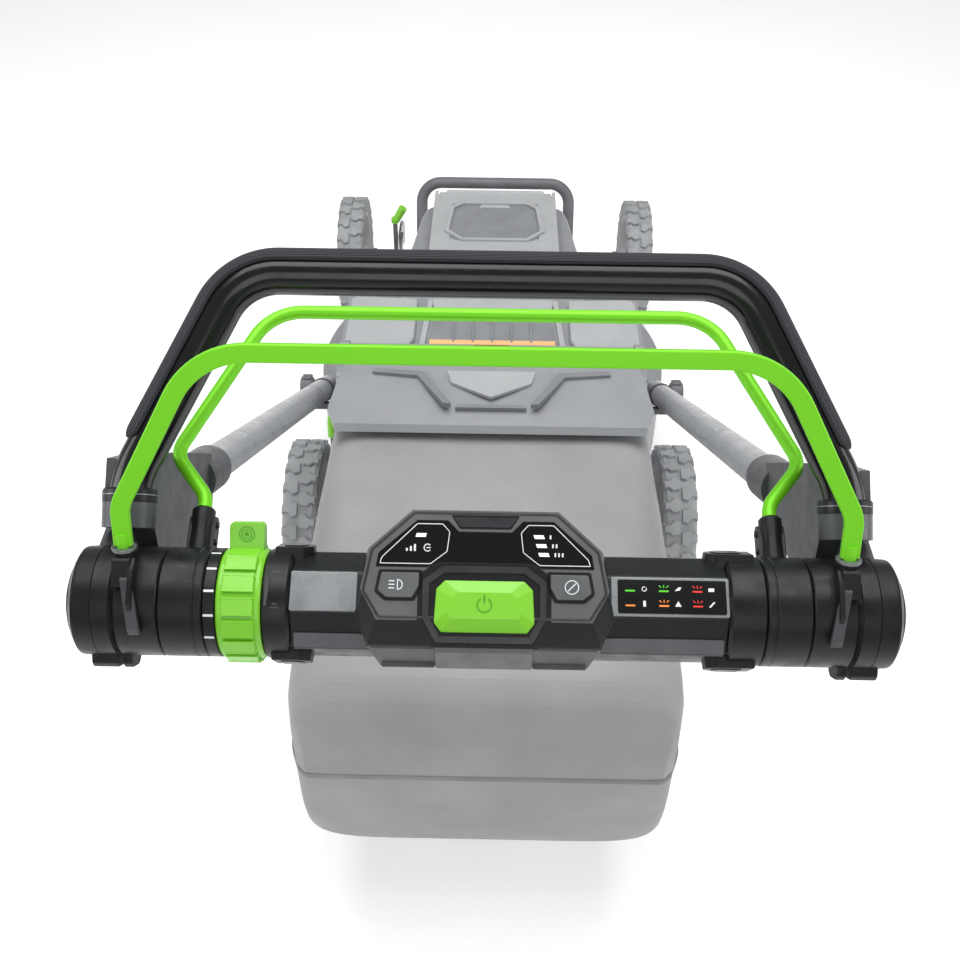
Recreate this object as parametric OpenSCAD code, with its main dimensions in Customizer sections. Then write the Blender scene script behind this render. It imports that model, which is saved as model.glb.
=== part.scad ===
// Walk-behind self-propelled battery lawn mower with a grass bag. Millimetres, +Z up, +Y forward.
// Lengths are laid out from the rear axle and moved at the end so that the origin is under the middle.

/* [Overall] */
// Distance between the front and rear wheel axles
wheelbase = 752; // [730:2:910]
// Width over the outer faces of the wheels
track_w = 610; // [590:2:740]
// Diameter of a rear wheel
rear_wheel_d = 240; // [220:2:260]
// Diameter of a front wheel
front_wheel_d = 230; // [210:2:250]
// Width of a tyre
tyre_w = 52; // [44:1:60]

/* [Deck] */
// Tip to tip length of the cutting blade
blade_l = 550; // [500:2:560]
// Height of the deck's lower rim over the ground
deck_z = 45; // [40:1:60]
// Height of the deck skirt
deck_h = 130; // [120:1:140]
// Wall of the deck casting
deck_t = 5; // [4:0.5:6]
// Height of the discharge chute's top over the ground
chute_z = 478; // [460:1:500]

/* [Handle] */
// Distance of the console's axis behind the rear axle
console_reach = 824; // [780:2:990]
// Height of the console's axis over the ground
console_z = 861; // [820:2:920]
// Length of the console over its end caps
console_w = 526; // [526:2:540]
// Diameter of the console's barrel
barrel_d = 69; // [67:1:72]
// Distance from the console's axis to the grip's cross bar
grip_reach = 212; // [205:1:250]
// Outer diameter of the grip tube
grip_d = 27; // [25:0.5:28]
// Outer diameter of the lower handle tubes
tube_d = 30; // [26:1:32]

/* [Controls] */
// Distance from the blade bail's sockets to its cross bar
blade_bail_reach = 127; // [115:1:130]
// Distance from the console's axis to the drive bail's cross bar
drive_bail_reach = 218; // [212:1:225]
// Diameter of the drive bail's rod
drive_bail_d = 9.5; // [8:0.5:10]
// Outer diameter of the speed dial
dial_d = 75; // [73:1:80]

/* [Bag] */
// Width of the grass bag
bag_w = 420; // [380:2:424]
// Distance of the bag's back behind the rear axle
bag_reach = 600; // [500:2:640]

/* [Hidden] */
$fn = 48;
run = 0.05;                              // radial clearance of a running fit
gap = 0.4;                               // clearance between neighbouring moving pieces
wheel_in = track_w / 2 - tyre_w;         // inner face of a wheel
rear_r = rear_wheel_d / 2;
front_r = front_wheel_d / 2;
tube_x = wheel_in - 23;                  // lower handle tubes
chute_x = wheel_in - 53;                 // outer half width of the discharge chute
blade_r = blade_l / 2;
deck_r = blade_r + 15;
deck_cy = deck_r + 40;                   // blade axis ahead of the rear axle
deck_top = deck_z + deck_h;
nose_y = wheelbase - 80;                 // front wall of the deck
nose_x = 215;
crank_y = 50;                            // height crank, from pivot bar to wheel axle
bar_z = 100;                             // both pivot bars
bar_r = 8;
axle_r = 6;
rear_bar_y = -crank_y;
front_bar_y = wheelbase - crank_y;
pivot_y = -20;                           // handle pivot
pivot_z = 392;
cap_reach = console_w / 2;
barrel_r = barrel_d / 2;
beam_r = 22;
ear_out = cap_reach - 15;                // bracket ear: outer and inner face
ear_in = cap_reach - 33.6;
blade_col = [cap_reach - 63, cap_reach - 36.1];     // blade bail collars, inner and outer end
drive_col = [cap_reach - 90.8, cap_reach - 63.4];   // drive bail collars
dial_x = [cap_reach - 126.5, cap_reach - 99.2];     // speed dial
leg_x = cap_reach - 35;                  // grip legs at their sockets
grip_tilt = 43;
grip_r = grip_d / 2;
blade_leg_x = cap_reach - 42;
drive_leg_x = cap_reach - 77.5;
face_tilt = 40;                          // display leans back by this much from level
casing_tilt = 27;                        // and the casing's own flat by this much
box_front = 46;
rear_ext = 36 * cos(face_tilt) + (box_front + 4) * sin(face_tilt);
shift_y = (console_reach + rear_ext - wheelbase - front_r) / 2;
arm_y = console_reach - 640;             // upper end of a lower tube, seen from the console's axis
arm_z = -64;
tube_a = atan2(console_z + arm_z - pivot_z, console_reach - arm_y + pivot_y);
tube_l = norm([console_reach - arm_y + pivot_y, console_z + arm_z - pivot_z]);
door_y = -72;                            // door hinge
door_z = chute_z + 18;
lid_y = 474;                             // battery lid hinge
lid_z = 414;

LIME = [0.42, 0.85, 0.10];
BLACK = [0.10, 0.10, 0.11];
DARK = [0.20, 0.20, 0.21];
GREY = [0.58, 0.58, 0.59];
SHELL = [0.66, 0.66, 0.67];
STEEL = [0.72, 0.72, 0.73];

// ---- shared helpers -------------------------------------------------------------------------

// Moves pieces from the rear axle's frame to the part's frame.
module placed() { translate([0, shift_y, 0]) children(); }

// The same, for pieces laid out from the console's axis.
module at_console() { placed() translate([0, -console_reach, console_z]) children(); }

// The display's own frame: x to the right, y up the face, z out of it.
module at_face() { at_console() rotate([face_tilt, 0, 0]) children(); }

// A cylinder along X between two distances.
module x_rod(x0, x1, r, y = 0, z = 0) {
    translate([min(x0, x1), y, z]) rotate([0, 90, 0]) cylinder(r = r, h = abs(x1 - x0));
}

// A side view in Y and Z given a thickness along X.
module side_plate(x0, x1) {
    translate([min(x0, x1), 0, 0]) rotate([90, 0, 90]) linear_extrude(abs(x1 - x0)) children();
}

// Both sides of a thing drawn on the left.
module both() { children(); mirror([1, 0, 0]) children(); }

function unit(v) = v / norm(v);
function turn(a, b) = atan2(a[0] * b[1] - a[1] * b[0], a * b);

// Sweeps a flat profile along a bent path in the XY plane. The profile's x points to the path's
// left and its y out of the plane; bends holds one radius per inner corner. A bend laps over the
// straights a little and is a hair thicker: the second child is its profile, if there is one.
module bent(pts, bends) {
    n = len(pts);
    dirs = [for (i = [0:n - 2]) unit(pts[i + 1] - pts[i])];
    cut = [for (i = [0:n - 1]) (i == 0 || i == n - 1) ? 0
        : bends[i - 1] * tan(abs(turn(dirs[i - 1], dirs[i])) / 2)];
    for (i = [0:n - 2]) {
        d = dirs[i];
        p = pts[i] + d * cut[i];
        len = norm(pts[i + 1] - pts[i]) - cut[i] - cut[i + 1];
        multmatrix([[-d[1], 0, d[0], p[0]], [d[0], 0, d[1], p[1]], [0, 1, 0, 0], [0, 0, 0, 1]])
            linear_extrude(len) children(0);
    }
    for (i = [1:n - 2]) {
        a = turn(dirs[i - 1], dirs[i]);
        side = sign(a);
        d = dirs[i - 1];
        start = pts[i] - d * cut[i];
        c = start + side * bends[i - 1] * [-d[1], d[0]];
        from = atan2(start[1] - c[1], start[0] - c[0]);
        lap = 0.4 / bends[i - 1] * 180 / PI;
        translate([c[0], c[1], 0]) rotate([0, 0, (side > 0 ? from : from + a) - lap])
            rotate_extrude(angle = abs(a) + 2 * lap) translate([bends[i - 1], 0])
                mirror([side > 0 ? 1 : 0, 0])
                    if ($children > 1) children(1); else scale(1.006) children(0);
    }
}

// ---- chassis --------------------------------------------------------------------------------

module nose_plan(t) {
    polygon([[-nose_x + t, deck_cy], [-nose_x + t, nose_y - 62], [-150 + t / 2, nose_y - t],
        [150 - t / 2, nose_y - t], [nose_x - t, nose_y - 62], [nose_x - t, deck_cy]]);
}

module chute_side() {
    polygon([[-110, 200], [-110, chute_z], [75, chute_z], [206, deck_top], [206, deck_z],
        [39, deck_z], [14, 140]]);
}

module chute_passage() {
    polygon([[-111, 206], [-111, chute_z - 12], [68, chute_z - 12], [198, deck_top - deck_t],
        [300, deck_top - deck_t], [300, deck_z - 1], [45, deck_z - 1], [20, 146]]);
}

// Deck casting: round blade chamber, front nose, rear chute and the bearings of both pivot bars.
module deck() {
    color(GREY) placed() difference() {
        union() {
            translate([0, deck_cy, deck_z]) cylinder(r = deck_r, h = deck_h);
            translate([0, 0, deck_z]) linear_extrude(deck_h) nose_plan(0);
            side_plate(-chute_x, chute_x) chute_side();
            both() {
                side_plate(-166, -150) {
                    translate([nose_y - 12, bar_z - 18]) square([front_bar_y + 14 - nose_y + 12, 36]);
                    polygon([[rear_bar_y - 18, bar_z - 18], [rear_bar_y + 18, bar_z - 18],
                        [rear_bar_y + 18, 168], [rear_bar_y - 18, 184]]);
                }
                side_plate(-chute_x + 4, -chute_x + 16) {
                    translate([door_y - 13, chute_z - 4]) square([26, 22]);
                    translate([door_y, door_z]) circle(13);
                }
                translate([-chute_x, -104, chute_z - 1]) cube([46, 24, 7]);
                translate([-chute_x, -50, chute_z - 1]) cube([46, 118, 7]);
            }
        }
        translate([0, deck_cy, deck_z - 1]) cylinder(r = deck_r - deck_t, h = deck_h - deck_t + 1);
        translate([0, 0, deck_z - 1]) difference() {
            linear_extrude(deck_h - deck_t + 1) nose_plan(deck_t);
            translate([0, deck_cy, -1]) cylinder(r = deck_r, h = deck_h + 2);
        }
        side_plate(-chute_x + 10, chute_x - 10) chute_passage();
        translate([0, deck_cy, deck_top - 20]) cylinder(r = 30, h = 40);
        x_rod(-170, 170, bar_r + run, front_bar_y, bar_z);
        x_rod(-170, 170, bar_r + run, rear_bar_y, bar_z);
        x_rod(-chute_x - 1, chute_x + 1, 4.05, door_y, door_z);
    }
}

cowl_y = [208, 104, 275, 462, min(560, nose_y - 100), nose_y - 60];

module cowl_side(t) {
    polygon([[cowl_y[0] + t, deck_top + 0.2 - (t > 0 ? 2 : 0)], [cowl_y[1] + 1.2 * t, 414 - t],
        [cowl_y[2], 422 - t], [cowl_y[3] - t / 3, 405 - t], [cowl_y[4] - t, 325 - t / 2],
        [cowl_y[5] - t, 240], [cowl_y[5] + 8 - t, deck_top + 0.2 - (t > 0 ? 2 : 0)]]);
}

module cowl_plan(t) {
    polygon([[-142 + t, 90], [-142 + t, 300], [-124 + t, 470], [-96 + t / 2, cowl_y[5] + 10],
        [96 - t / 2, cowl_y[5] + 10], [124 - t, 470], [142 - t, 300], [142 - t, 90]]);
}

// Plastic cover over the motor, with the battery bay's mouth and the lid's hinge lugs.
module cowl() {
    color(SHELL) placed() difference() {
        union() {
            intersection() {
                side_plate(-150, 150) cowl_side(0);
                translate([0, 0, 150]) linear_extrude(320) cowl_plan(0);
            }
            both() side_plate(-94, -82) {
                translate([lid_y, lid_z]) circle(9);
                polygon([[lid_y - 9, 390], [lid_y - 9, lid_z], [lid_y + 9, lid_z],
                    [lid_y + 22, 380]]);
            }
        }
        intersection() {
            side_plate(-150, 150) cowl_side(4);
            translate([0, 0, 150]) linear_extrude(320) cowl_plan(4);
        }
        translate([-84, 268, 380]) cube([168, 182, 60]);
        x_rod(-96, 96, 3 + run, lid_y, lid_z);
    }
}

// Electric motor on the deck's top plate.
module motor_housing() {
    color(DARK) placed() translate([0, deck_cy, 0]) difference() {
        union() {
            translate([0, 0, deck_top + 0.05]) cylinder(r = 82, h = 10);
            translate([0, 0, deck_top + 5]) cylinder(r = 72, h = 95);
        }
        translate([0, 0, deck_top - 1]) cylinder(r = 11 + run, h = 90);
    }
}

// Motor and drive electronics in their case.
module controller() {
    color(DARK) placed() translate([-60, 222, deck_top + 0.05]) difference() {
        cube([120, 20, 62]);
        for (x = [10:20:100]) translate([x, -1, 12]) cube([8, 5, 40]);
    }
}

// Battery in its bay above the motor.
module battery_pack() {
    color(BLACK) placed() {
        translate([-78, 272, 286]) cube([156, 174, 100]);
        translate([-26, 320, 380]) cube([52, 80, 16]);
    }
}

// Bent tube at the front to lift the mower by.
module front_lift_handle() {
    color(DARK) placed() translate([0, nose_y - 22, deck_top + 0.05]) rotate([66, 0, 0])
        difference() {
            bent([[-138, -20], [-138, 142], [138, 142], [138, -20]], [36, 36]) circle(10.5);
            rotate([-66, 0, 0]) translate([-200, -100, -60]) cube([400, 200, 60]);
        }
}

// Block that carries one handle pivot, with the ledge that the lowered tube rests on.
module handle_mount() {
    color(DARK) placed() difference() {
        union() {
            side_plate(-tube_x + tube_d / 2 + 1, -chute_x - 0.05) {
                translate([pivot_y, pivot_z]) circle(26);
                translate([pivot_y - 30, pivot_z - 62]) square([60, 60]);
                translate([pivot_y, pivot_z])
                    polygon([[-8, -30], [-66, -4], [-58, 24], [-10, 20]]);
            }
            translate([0, pivot_y, pivot_z]) rotate([-tube_a, 0, 0])
                translate([-tube_x - 15, -62, -tube_d / 2 - gap - 8])
                    cube([tube_x + 15 - chute_x - 1, 26, 8]);
        }
        x_rod(-tube_x - 30, 0, axle_r, pivot_y, pivot_z);
    }
}
module handle_mount_left() { handle_mount(); }
module handle_mount_right() { mirror([1, 0, 0]) handle_mount(); }

// Pivot pins of the handle, each with its round hand knob.
module handle_pins() {
    color(BLACK) placed() both() {
        x_rod(-tube_x - 16, -chute_x - 0.05, axle_r - 0.02, pivot_y, pivot_z);
        x_rod(-tube_x - 34, -tube_x - tube_d / 2 - 1, 18, pivot_y, pivot_z);
    }
}

// Notched plate beside a height lever; the lever swings forward from its rearmost notch.
module quadrant(x, y, r, a0) {
    side_plate(x - 2, x + 2) translate([y, bar_z]) difference() {
        intersection() {
            circle(r);
            polygon([[0, 0], 2 * r * [cos(a0 + 12), sin(a0 + 12)],
                2 * r * [cos(a0 - 22), sin(a0 - 22)], 2 * r * [cos(a0 - 62), sin(a0 - 62)]]);
        }
        circle(r - 34);
        for (i = [0:5]) rotate(a0 - 9 * i) translate([r, 0]) square([10, 6], center = true);
    }
}
module front_quadrant() {
    color(STEEL) placed() {
        quadrant(-183, front_bar_y, 108, 90);
        translate([-181.1, nose_y - 40, deck_top - 0.05 + 0.1]) cube([4, 75, 22]);
    }
}
module rear_quadrant() {
    color(STEEL) placed() {
        quadrant(-chute_x - 26, rear_bar_y, 150, 71);
        translate([-chute_x - 28, 20, 175]) cube([27.95, 14, 16]);
    }
}

// Hinge rod of the rear door.
module door_rod() { color(STEEL) placed() x_rod(-chute_x + 3, chute_x - 3, 4, door_y, door_z); }

// Coiled spring on the door rod, as close-wound rings with one leg to the chute.
module door_spring() {
    color(STEEL) placed() {
        for (i = [0:7]) translate([-14 + 4 * i, door_y, door_z]) rotate([0, 90, 0])
            rotate_extrude() translate([6.4, 0]) circle(2.1);
        translate([0, door_y - 1, chute_z + 0.1]) cylinder(r = 2, h = 11.5);
    }
}

// Lid of the battery bay with its hinge barrel at the front and a finger rib.
module battery_lid() {
    color(SHELL) placed() {
        difference() {
            side_plate(-100, 100)
                polygon([[258, 423.5], [458, 406 + gap], [467, 410], [lid_y, 420], [458, 419],
                    [262, 437], [254, 430]]);
            side_plate(-70, 70) polygon([[300, 431], [430, 419.5], [430, 440], [300, 450]]);
            for (s = [-1, 1])
                translate([s * 88 - 6.6, lid_y - 9 - gap, 380]) cube([13.2, 40, 80]);
        }
        x_rod(-80, 80, 7, lid_y, lid_z);
        x_rod(-93, 93, 3, lid_y, lid_z);
    }
}

// Spring-loaded rear door over the bag's mouth.
module rear_door() {
    color(GREY) placed() difference() {
        union() {
            intersection() {
                side_plate(-chute_x - 5, chute_x + 5)
                    polygon([[door_y + 6, door_z + 3], [door_y + 4, door_z + 9],
                        [door_y - 60, door_z + 10], [-216, door_z - 2], [-222, door_z - 10],
                        [-150, door_z - 4], [door_y - 16, door_z - 1], [door_y - 10, door_z]]);
                linear_extrude(700) polygon([[-chute_x + 18, 0], [-chute_x + 18, door_y - 14],
                    [-chute_x, -190], [-chute_x + 12, -224], [chute_x - 12, -224],
                    [chute_x, -190], [chute_x - 18, door_y - 14], [chute_x - 18, 0]]);
            }
            for (s = [-1, 1]) x_rod(s * 24, s * (chute_x - 18), 9, door_y, door_z);
        }
        x_rod(-chute_x, chute_x, 4 + run, door_y, door_z);
        x_rod(-23, 23, 13, door_y, door_z);
    }
}

// ---- grass bag ------------------------------------------------------------------------------

module bag_side(t) {
    polygon([[-131 - t, 215 + t], [-131 - t, 474 - t], [-215, chute_z - t], [-555, 468 - t],
        [-586, 452 - t], [-bag_reach + t, 412], [-bag_reach + t, 320], [-bag_reach + 14 + t, 170],
        [-bag_reach + 40, 128 + t], [-300, 122 + t], [-215, 150 + t]]);
}
module bag_plan(t) {
    h = bag_w / 2;
    polygon([[-h + 14 + t, -131 - t], [-h + t, -430], [-h + 3 + t, -570],
        [-h + 22 + t, -bag_reach + t], [h - 22 - t, -bag_reach + t], [h - 3 - t, -570],
        [h - t, -430], [h - 14 - t, -131 - t]]);
}

// Fabric bag, open at the front.
module grass_bag() {
    color([0.52, 0.52, 0.53]) placed() difference() {
        intersection() {
            side_plate(-bag_w, bag_w) bag_side(0);
            linear_extrude(600) bag_plan(0);
        }
        intersection() {
            side_plate(-bag_w, bag_w) bag_side(3);
            linear_extrude(600) bag_plan(3);
        }
        translate([-bag_w / 2 + 32, -140, 233]) cube([bag_w - 64, 20, 223]);
    }
}

// Stiff frame around the bag's mouth, which sits against the chute.
module bag_frame() {
    color(DARK) placed() difference() {
        translate([-bag_w / 2 + 16, -130.95, 216]) cube([bag_w - 32, 20 - 0.5, 256]);
        translate([-bag_w / 2 + 32, -140, 233]) cube([bag_w - 64, 40, 223]);
    }
}

// ---- cutting blade --------------------------------------------------------------------------

module blade() {
    color(STEEL) placed() translate([0, deck_cy, 60]) difference() {
        intersection() {
            cylinder(r = blade_r, h = 20);
            union() {
                translate([-blade_r, -28, 0]) cube([blade_l, 56, 4]);
                for (a = [0, 180]) rotate([0, 0, a]) translate([blade_r - 96, 12, 3.9])
                    rotate([28, 0, 0]) cube([96, 26, 3.2]);
            }
        }
        translate([0, 0, -1]) cylinder(r = 5 + run, h = 6);
    }
}

// Motor shaft with the flange that the blade is clamped to.
module spindle() {
    color(STEEL) placed() translate([0, deck_cy, 64.02]) difference() {
        union() {
            cylinder(r = 11, h = deck_top + 23);
            cylinder(r = 24, h = 12);
        }
        translate([0, 0, -1]) cylinder(r = 5, h = 25);
    }
}
module blade_bolt() {
    color(DARK) placed() translate([0, deck_cy, 0]) {
        translate([0, 0, 50]) cylinder(r = 10, h = 8, $fn = 6);
        translate([0, 0, 57]) cylinder(r = 15, h = 2.98);
        translate([0, 0, 57]) cylinder(r = 4.98, h = 28);
    }
}

// ---- height cranks and wheels ---------------------------------------------------------------

// Pivot bar with a crank arm at each end; the arms carry the wheels' axles.
module crank_bar(y, wheel_y, wheel_z, bore) {
    x_rod(-wheel_in + 7, wheel_in - 7, bar_r, y, bar_z);
    both() side_plate(-wheel_in + 7, -wheel_in + 17) difference() {
        union() {
            translate([y, bar_z]) circle(15);
            translate([wheel_y, wheel_z]) circle(15);
            polygon([[y - 4, bar_z + 14.4], [y + 4, bar_z - 14.4], [wheel_y + 4, wheel_z - 14.4],
                [wheel_y - 4, wheel_z + 14.4]]);
        }
        if (bore) translate([wheel_y, wheel_z]) circle(axle_r + run);
    }
}
module front_axle() {
    color(STEEL) placed() {
        crank_bar(front_bar_y, wheelbase, front_r, false);
        both() x_rod(-track_w / 2 + 6, -wheel_in + 17, axle_r, wheelbase, front_r);
    }
}
module rear_axle() { color(STEEL) placed() crank_bar(rear_bar_y, 0, rear_r, true); }

// Height lever clamped on its pivot bar.
module front_lever() {
    color(DARK) placed() {
        side_plate(-196, -188) difference() {
            union() {
                translate([front_bar_y, bar_z]) circle(14);
                translate([front_bar_y - 6, bar_z]) square([12, 122]);
            }
            translate([front_bar_y, bar_z]) circle(bar_r + run);
        }
    }
}
module front_lever_grip() {
    color(LIME) placed() translate([-192, front_bar_y, bar_z + 122.05]) {
        rotate([0, 28, 0]) translate([0, 0, 5]) cylinder(r1 = 7, r2 = 8, h = 30);
        cylinder(r = 7, h = 9);
    }
}
module rear_lever() {
    color(DARK) placed() translate([0, rear_bar_y, bar_z]) rotate([-19, 0, 0])
        side_plate(-wheel_in + 18, -wheel_in + 24) difference() {
            union() {
                circle(14);
                translate([-6, 0]) square([12, 186]);
            }
            circle(bar_r + run);
        }
}
module rear_lever_grip() {
    color(LIME) placed() translate([-wheel_in + 21, rear_bar_y, bar_z]) rotate([-19, 0, 0])
        translate([0, 0, 186.05]) { cylinder(r = 8, h = 26); translate([0, 0, 26]) sphere(8); }
}

// Gear case around the drive shaft, saddled on the rear pivot bar.
module drive_gearbox() {
    color(GREY) placed() difference() {
        union() {
            side_plate(-52, 52) polygon([[-70, 84], [12, 104], [12, 134], [-14, 140], [-70, 124]]);
            x_rod(-66, -51, 26, -34, 108);
        }
        x_rod(-80, 80, axle_r + run, 0, rear_r);
        x_rod(-80, 80, bar_r + run, rear_bar_y, bar_z);
    }
}
module drive_shaft() {
    color(STEEL) placed() x_rod(-track_w / 2 + 6, track_w / 2 - 6, axle_r, 0, rear_r);
}

module tyre(r) {
    color([0.42, 0.42, 0.43]) rotate([0, -90, 0]) rotate_extrude($fn = 96)
        polygon([[r - 28 + 0.05, 3], [r - 10, 0], [r - 3, 6], [r, 12], [r, tyre_w - 12],
            [r - 3, tyre_w - 6], [r - 10, tyre_w], [r - 28 + 0.05, tyre_w - 3]]);
}
module rim(r) {
    color(SHELL) rotate([0, -90, 0]) difference() {
        rotate_extrude($fn = 96)
            polygon([[0, 6], [0, tyre_w], [20, tyre_w], [24, tyre_w - 12], [r - 44, tyre_w - 22],
                [r - 38, tyre_w - 4], [r - 28, tyre_w - 4], [r - 28, 4], [r - 36, 4],
                [r - 40, tyre_w - 32], [24, tyre_w - 24], [18, 2], [0, 2]]);
        translate([0, 0, -1]) cylinder(r = axle_r + run, h = tyre_w - 4);
        for (a = [0:60:300]) rotate([0, 0, a]) translate([r * 0.42, 0, 0])
            cylinder(r = r * 0.1, h = tyre_w + 2);
    }
}
module on_wheel(side, y, r) {
    placed() mirror([side > 0 ? 1 : 0, 0, 0]) translate([-wheel_in, y, r]) children();
}
module front_left_tyre() { on_wheel(-1, wheelbase, front_r) tyre(front_r); }
module front_left_rim() { on_wheel(-1, wheelbase, front_r) rim(front_r); }
module front_right_tyre() { on_wheel(1, wheelbase, front_r) tyre(front_r); }
module front_right_rim() { on_wheel(1, wheelbase, front_r) rim(front_r); }
module rear_left_tyre() { on_wheel(-1, 0, rear_r) tyre(rear_r); }
module rear_left_rim() { on_wheel(-1, 0, rear_r) rim(rear_r); }
module rear_right_tyre() { on_wheel(1, 0, rear_r) tyre(rear_r); }
module rear_right_rim() { on_wheel(1, 0, rear_r) rim(rear_r); }

// ---- handle ---------------------------------------------------------------------------------

// One lower tube, from below its pivot to the bracket.
module lower_tube() {
    color(GREY) placed() translate([-tube_x, pivot_y, pivot_z]) difference() {
        rotate([90 - tube_a, 0, 0]) difference() {
            translate([0, 0, -24]) cylinder(r = tube_d / 2, h = tube_l + 24);
            translate([0, 0, -25]) cylinder(r = tube_d / 2 - 2.5, h = tube_l + 26);
        }
        x_rod(-30, 30, axle_r + run);
    }
}
module lower_tube_left() { lower_tube(); }
module lower_tube_right() { mirror([1, 0, 0]) lower_tube(); }

// Cast bracket: holds the lower tube, the grip tube and the console beam.
module bracket() {
    w = [sin(tube_a), cos(tube_a)];
    socket_r = tube_d / 2 + 4;
    color(DARK) at_console() difference() {
        union() {
            x_rod(-ear_out, -ear_in, barrel_r - 0.5);
            side_plate(-ear_out + 2, -ear_in) polygon([[46, 24], [38, -28], [0, -26], [0, 26]]);
            side_plate(-ear_out + 4, -leg_x + 12)
                polygon([[arm_y, arm_z] - socket_r * w, [arm_y, arm_z] + socket_r * w,
                    [108, 30], [66, 62], [44, 44], [45, 22], [39, -26]]);
            rotate([grip_tilt, 0, 0]) translate([-leg_x, 46, 0]) rotate([-90, 0, 0])
                cylinder(r = grip_r + 3.5, h = 24);
            translate([-tube_x, arm_y, arm_z]) rotate([90 - tube_a, 0, 0])
                translate([0, 0, -46]) cylinder(r = socket_r, h = 56);
            translate([-ear_out + 2, -14, -barrel_r - 5]) cube([16, 24, 14]);
        }
        x_rod(-ear_out - 1, 0, beam_r + run);
        rotate([grip_tilt, 0, 0])
            bent([[-leg_x, 50], [-leg_x, 78.3], [-grip_top_x, grip_reach]], [70])
                circle(grip_r + 0.12);
        translate([-tube_x, arm_y, arm_z]) rotate([90 - tube_a, 0, 0])
            translate([0, 0, -60]) cylinder(r = tube_d / 2 + run, h = 60.1);
    }
}
module bracket_left() { bracket(); }
module bracket_right() { mirror([1, 0, 0]) bracket(); }

// Steel tube through the whole console; everything on the console is carried by it.
module console_beam() {
    color(STEEL) at_console() difference() {
        x_rod(-ear_out, ear_out, beam_r);
        x_rod(-ear_out - 1, ear_out + 1, beam_r - 2.5);
    }
}

shell_x = [-dial_x[0] + 0.6, drive_col[0] - gap];   // left and right end of the console's casing

// Casing of the console: round ends, eight-sided middle, and the dial's seat with its scale ring.
module console_shell() {
    color(BLACK) at_console() difference() {
        union() {
            rotate([casing_tilt, 0, 0]) rotate([0, 90, 0]) rotate([0, 0, 22.5])
                translate([0, 0, shell_x[0] + 16]) cylinder(r = 34, h = shell_x[1] - shell_x[0] - 38, $fn = 8);
            x_rod(shell_x[0], shell_x[0] + 16.5, barrel_r);
            x_rod(shell_x[1] - 22.5, shell_x[1], barrel_r);
            x_rod(-drive_col[0] + gap, shell_x[0] + 1, 27);
            x_rod(-drive_col[0] + gap, -dial_x[1] - gap, barrel_r);
        }
        x_rod(-300, 300, beam_r + run);
    }
}

box_pts = [[-44, 57], [44, 57], [72, 33], [78, -8], [63, -37], [-63, -37], [-78, -8], [-72, 33]];
panel_pts = [[-41, 51], [41, 51], [66, 30], [71, -6], [60, -18], [-60, -18], [-71, -6], [-66, 30]];
power_pts = [[-27, 15], [27, 15], [30, 11], [30, -8], [24, -15], [-24, -15], [-30, -8], [-30, 11]];

module power_outline(t) {
    polygon([for (p = power_pts) [p[0] + sign(p[0]) * t, p[1] + sign(p[1]) * t]]);
}
module side_button_outline(t) {
    translate([-65 - t, 3 - t]) square([26 + 2 * t, 17 + 2 * t]);
}

// Eight-sided housing of the display, seated on the casing, with the buttons' pockets.
module console_box() {
    color(BLACK) at_console() difference() {
        rotate([face_tilt, 0, 0]) difference() {
            union() {
                translate([0, 0, -14]) linear_extrude(box_front + 14) polygon(box_pts);
                translate([-30, -36, 10]) cube([60, 17, box_front - 6]);
            }
            translate([0, 0, box_front - 3]) linear_extrude(10)
                difference() { polygon(panel_pts); power_outline(4); }
            translate([0, 0, box_front - 12]) linear_extrude(40) power_outline(gap);
            both() translate([0, 0, box_front - 9]) linear_extrude(40) side_button_outline(gap);
        }
        rotate([casing_tilt, 0, 0]) rotate([0, 90, 0]) rotate([0, 0, 22.5])
            translate([0, 0, -100]) cylinder(r = 34.06, h = 200, $fn = 8);
    }
}

// Glossy display plate around the buttons.
module display_panel() {
    color([0.04, 0.04, 0.05]) at_face() translate([0, 0, box_front - 2.98])
        linear_extrude(2.4) difference() {
            polygon([for (p = panel_pts) [p[0] - sign(p[0]) * 0.4, p[1] - sign(p[1]) * 0.4]]);
            power_outline(4.4);
            both() side_button_outline(gap);
        }
}

// Dark lens with the indicator lamps.
module indicator_panel() {
    color([0.04, 0.04, 0.05]) at_console() rotate([casing_tilt, 0, 0])
        translate([80, -12, 34 * cos(22.5) + 0.05])
        cube([shell_x[1] - 22 - 84, 24, 2.2]);
}

// Domed cap on a bracket's ear.
module end_cap() {
    color(BLACK) at_console() intersection() {
        translate([-cap_reach + 60, 0, 0]) sphere(60, $fn = 96);
        x_rod(-cap_reach - 5, -ear_out - 0.05, barrel_r);
    }
}
module end_cap_left() { end_cap(); }
module end_cap_right() { mirror([1, 0, 0]) end_cap(); }

grip_slope = 0.49;                       // how much a grip leg leans in per unit of rise
grip_top_x = leg_x - (grip_reach - 78.3) * grip_slope;

// Bent handlebar tube.
module grip_tube() {
    color(BLACK) at_console() rotate([grip_tilt, 0, 0])
        bent([[-leg_x, 50.5], [-leg_x, 78.3], [-grip_top_x, grip_reach], [grip_top_x, grip_reach],
            [leg_x, 78.3], [leg_x, 50.5]], [70, 42, 42, 70]) circle(grip_r);
}

module pad_section(outer, inner, wider) {
    intersection() {
        difference() { circle(grip_r + outer); circle(grip_r + inner); }
        translate([-wider, 0]) polygon([[0, 0], [20, 38], [40, 38], [40, -38], [20, -38]]);
    }
}

// Soft pad along the outer side of the grip tube.
module grip_pad() {
    color(DARK) at_console() rotate([grip_tilt, 0, 0])
        bent([[-leg_x + (105 - 78.3) * grip_slope, 105], [-grip_top_x, grip_reach],
            [grip_top_x, grip_reach], [leg_x - (105 - 78.3) * grip_slope, 105]], [42, 42]) {
            pad_section(3.5, 0.12, 0);
            pad_section(3.55, 0.1, 0.1);
        }
}

// ---- bails ----------------------------------------------------------------------------------

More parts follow.
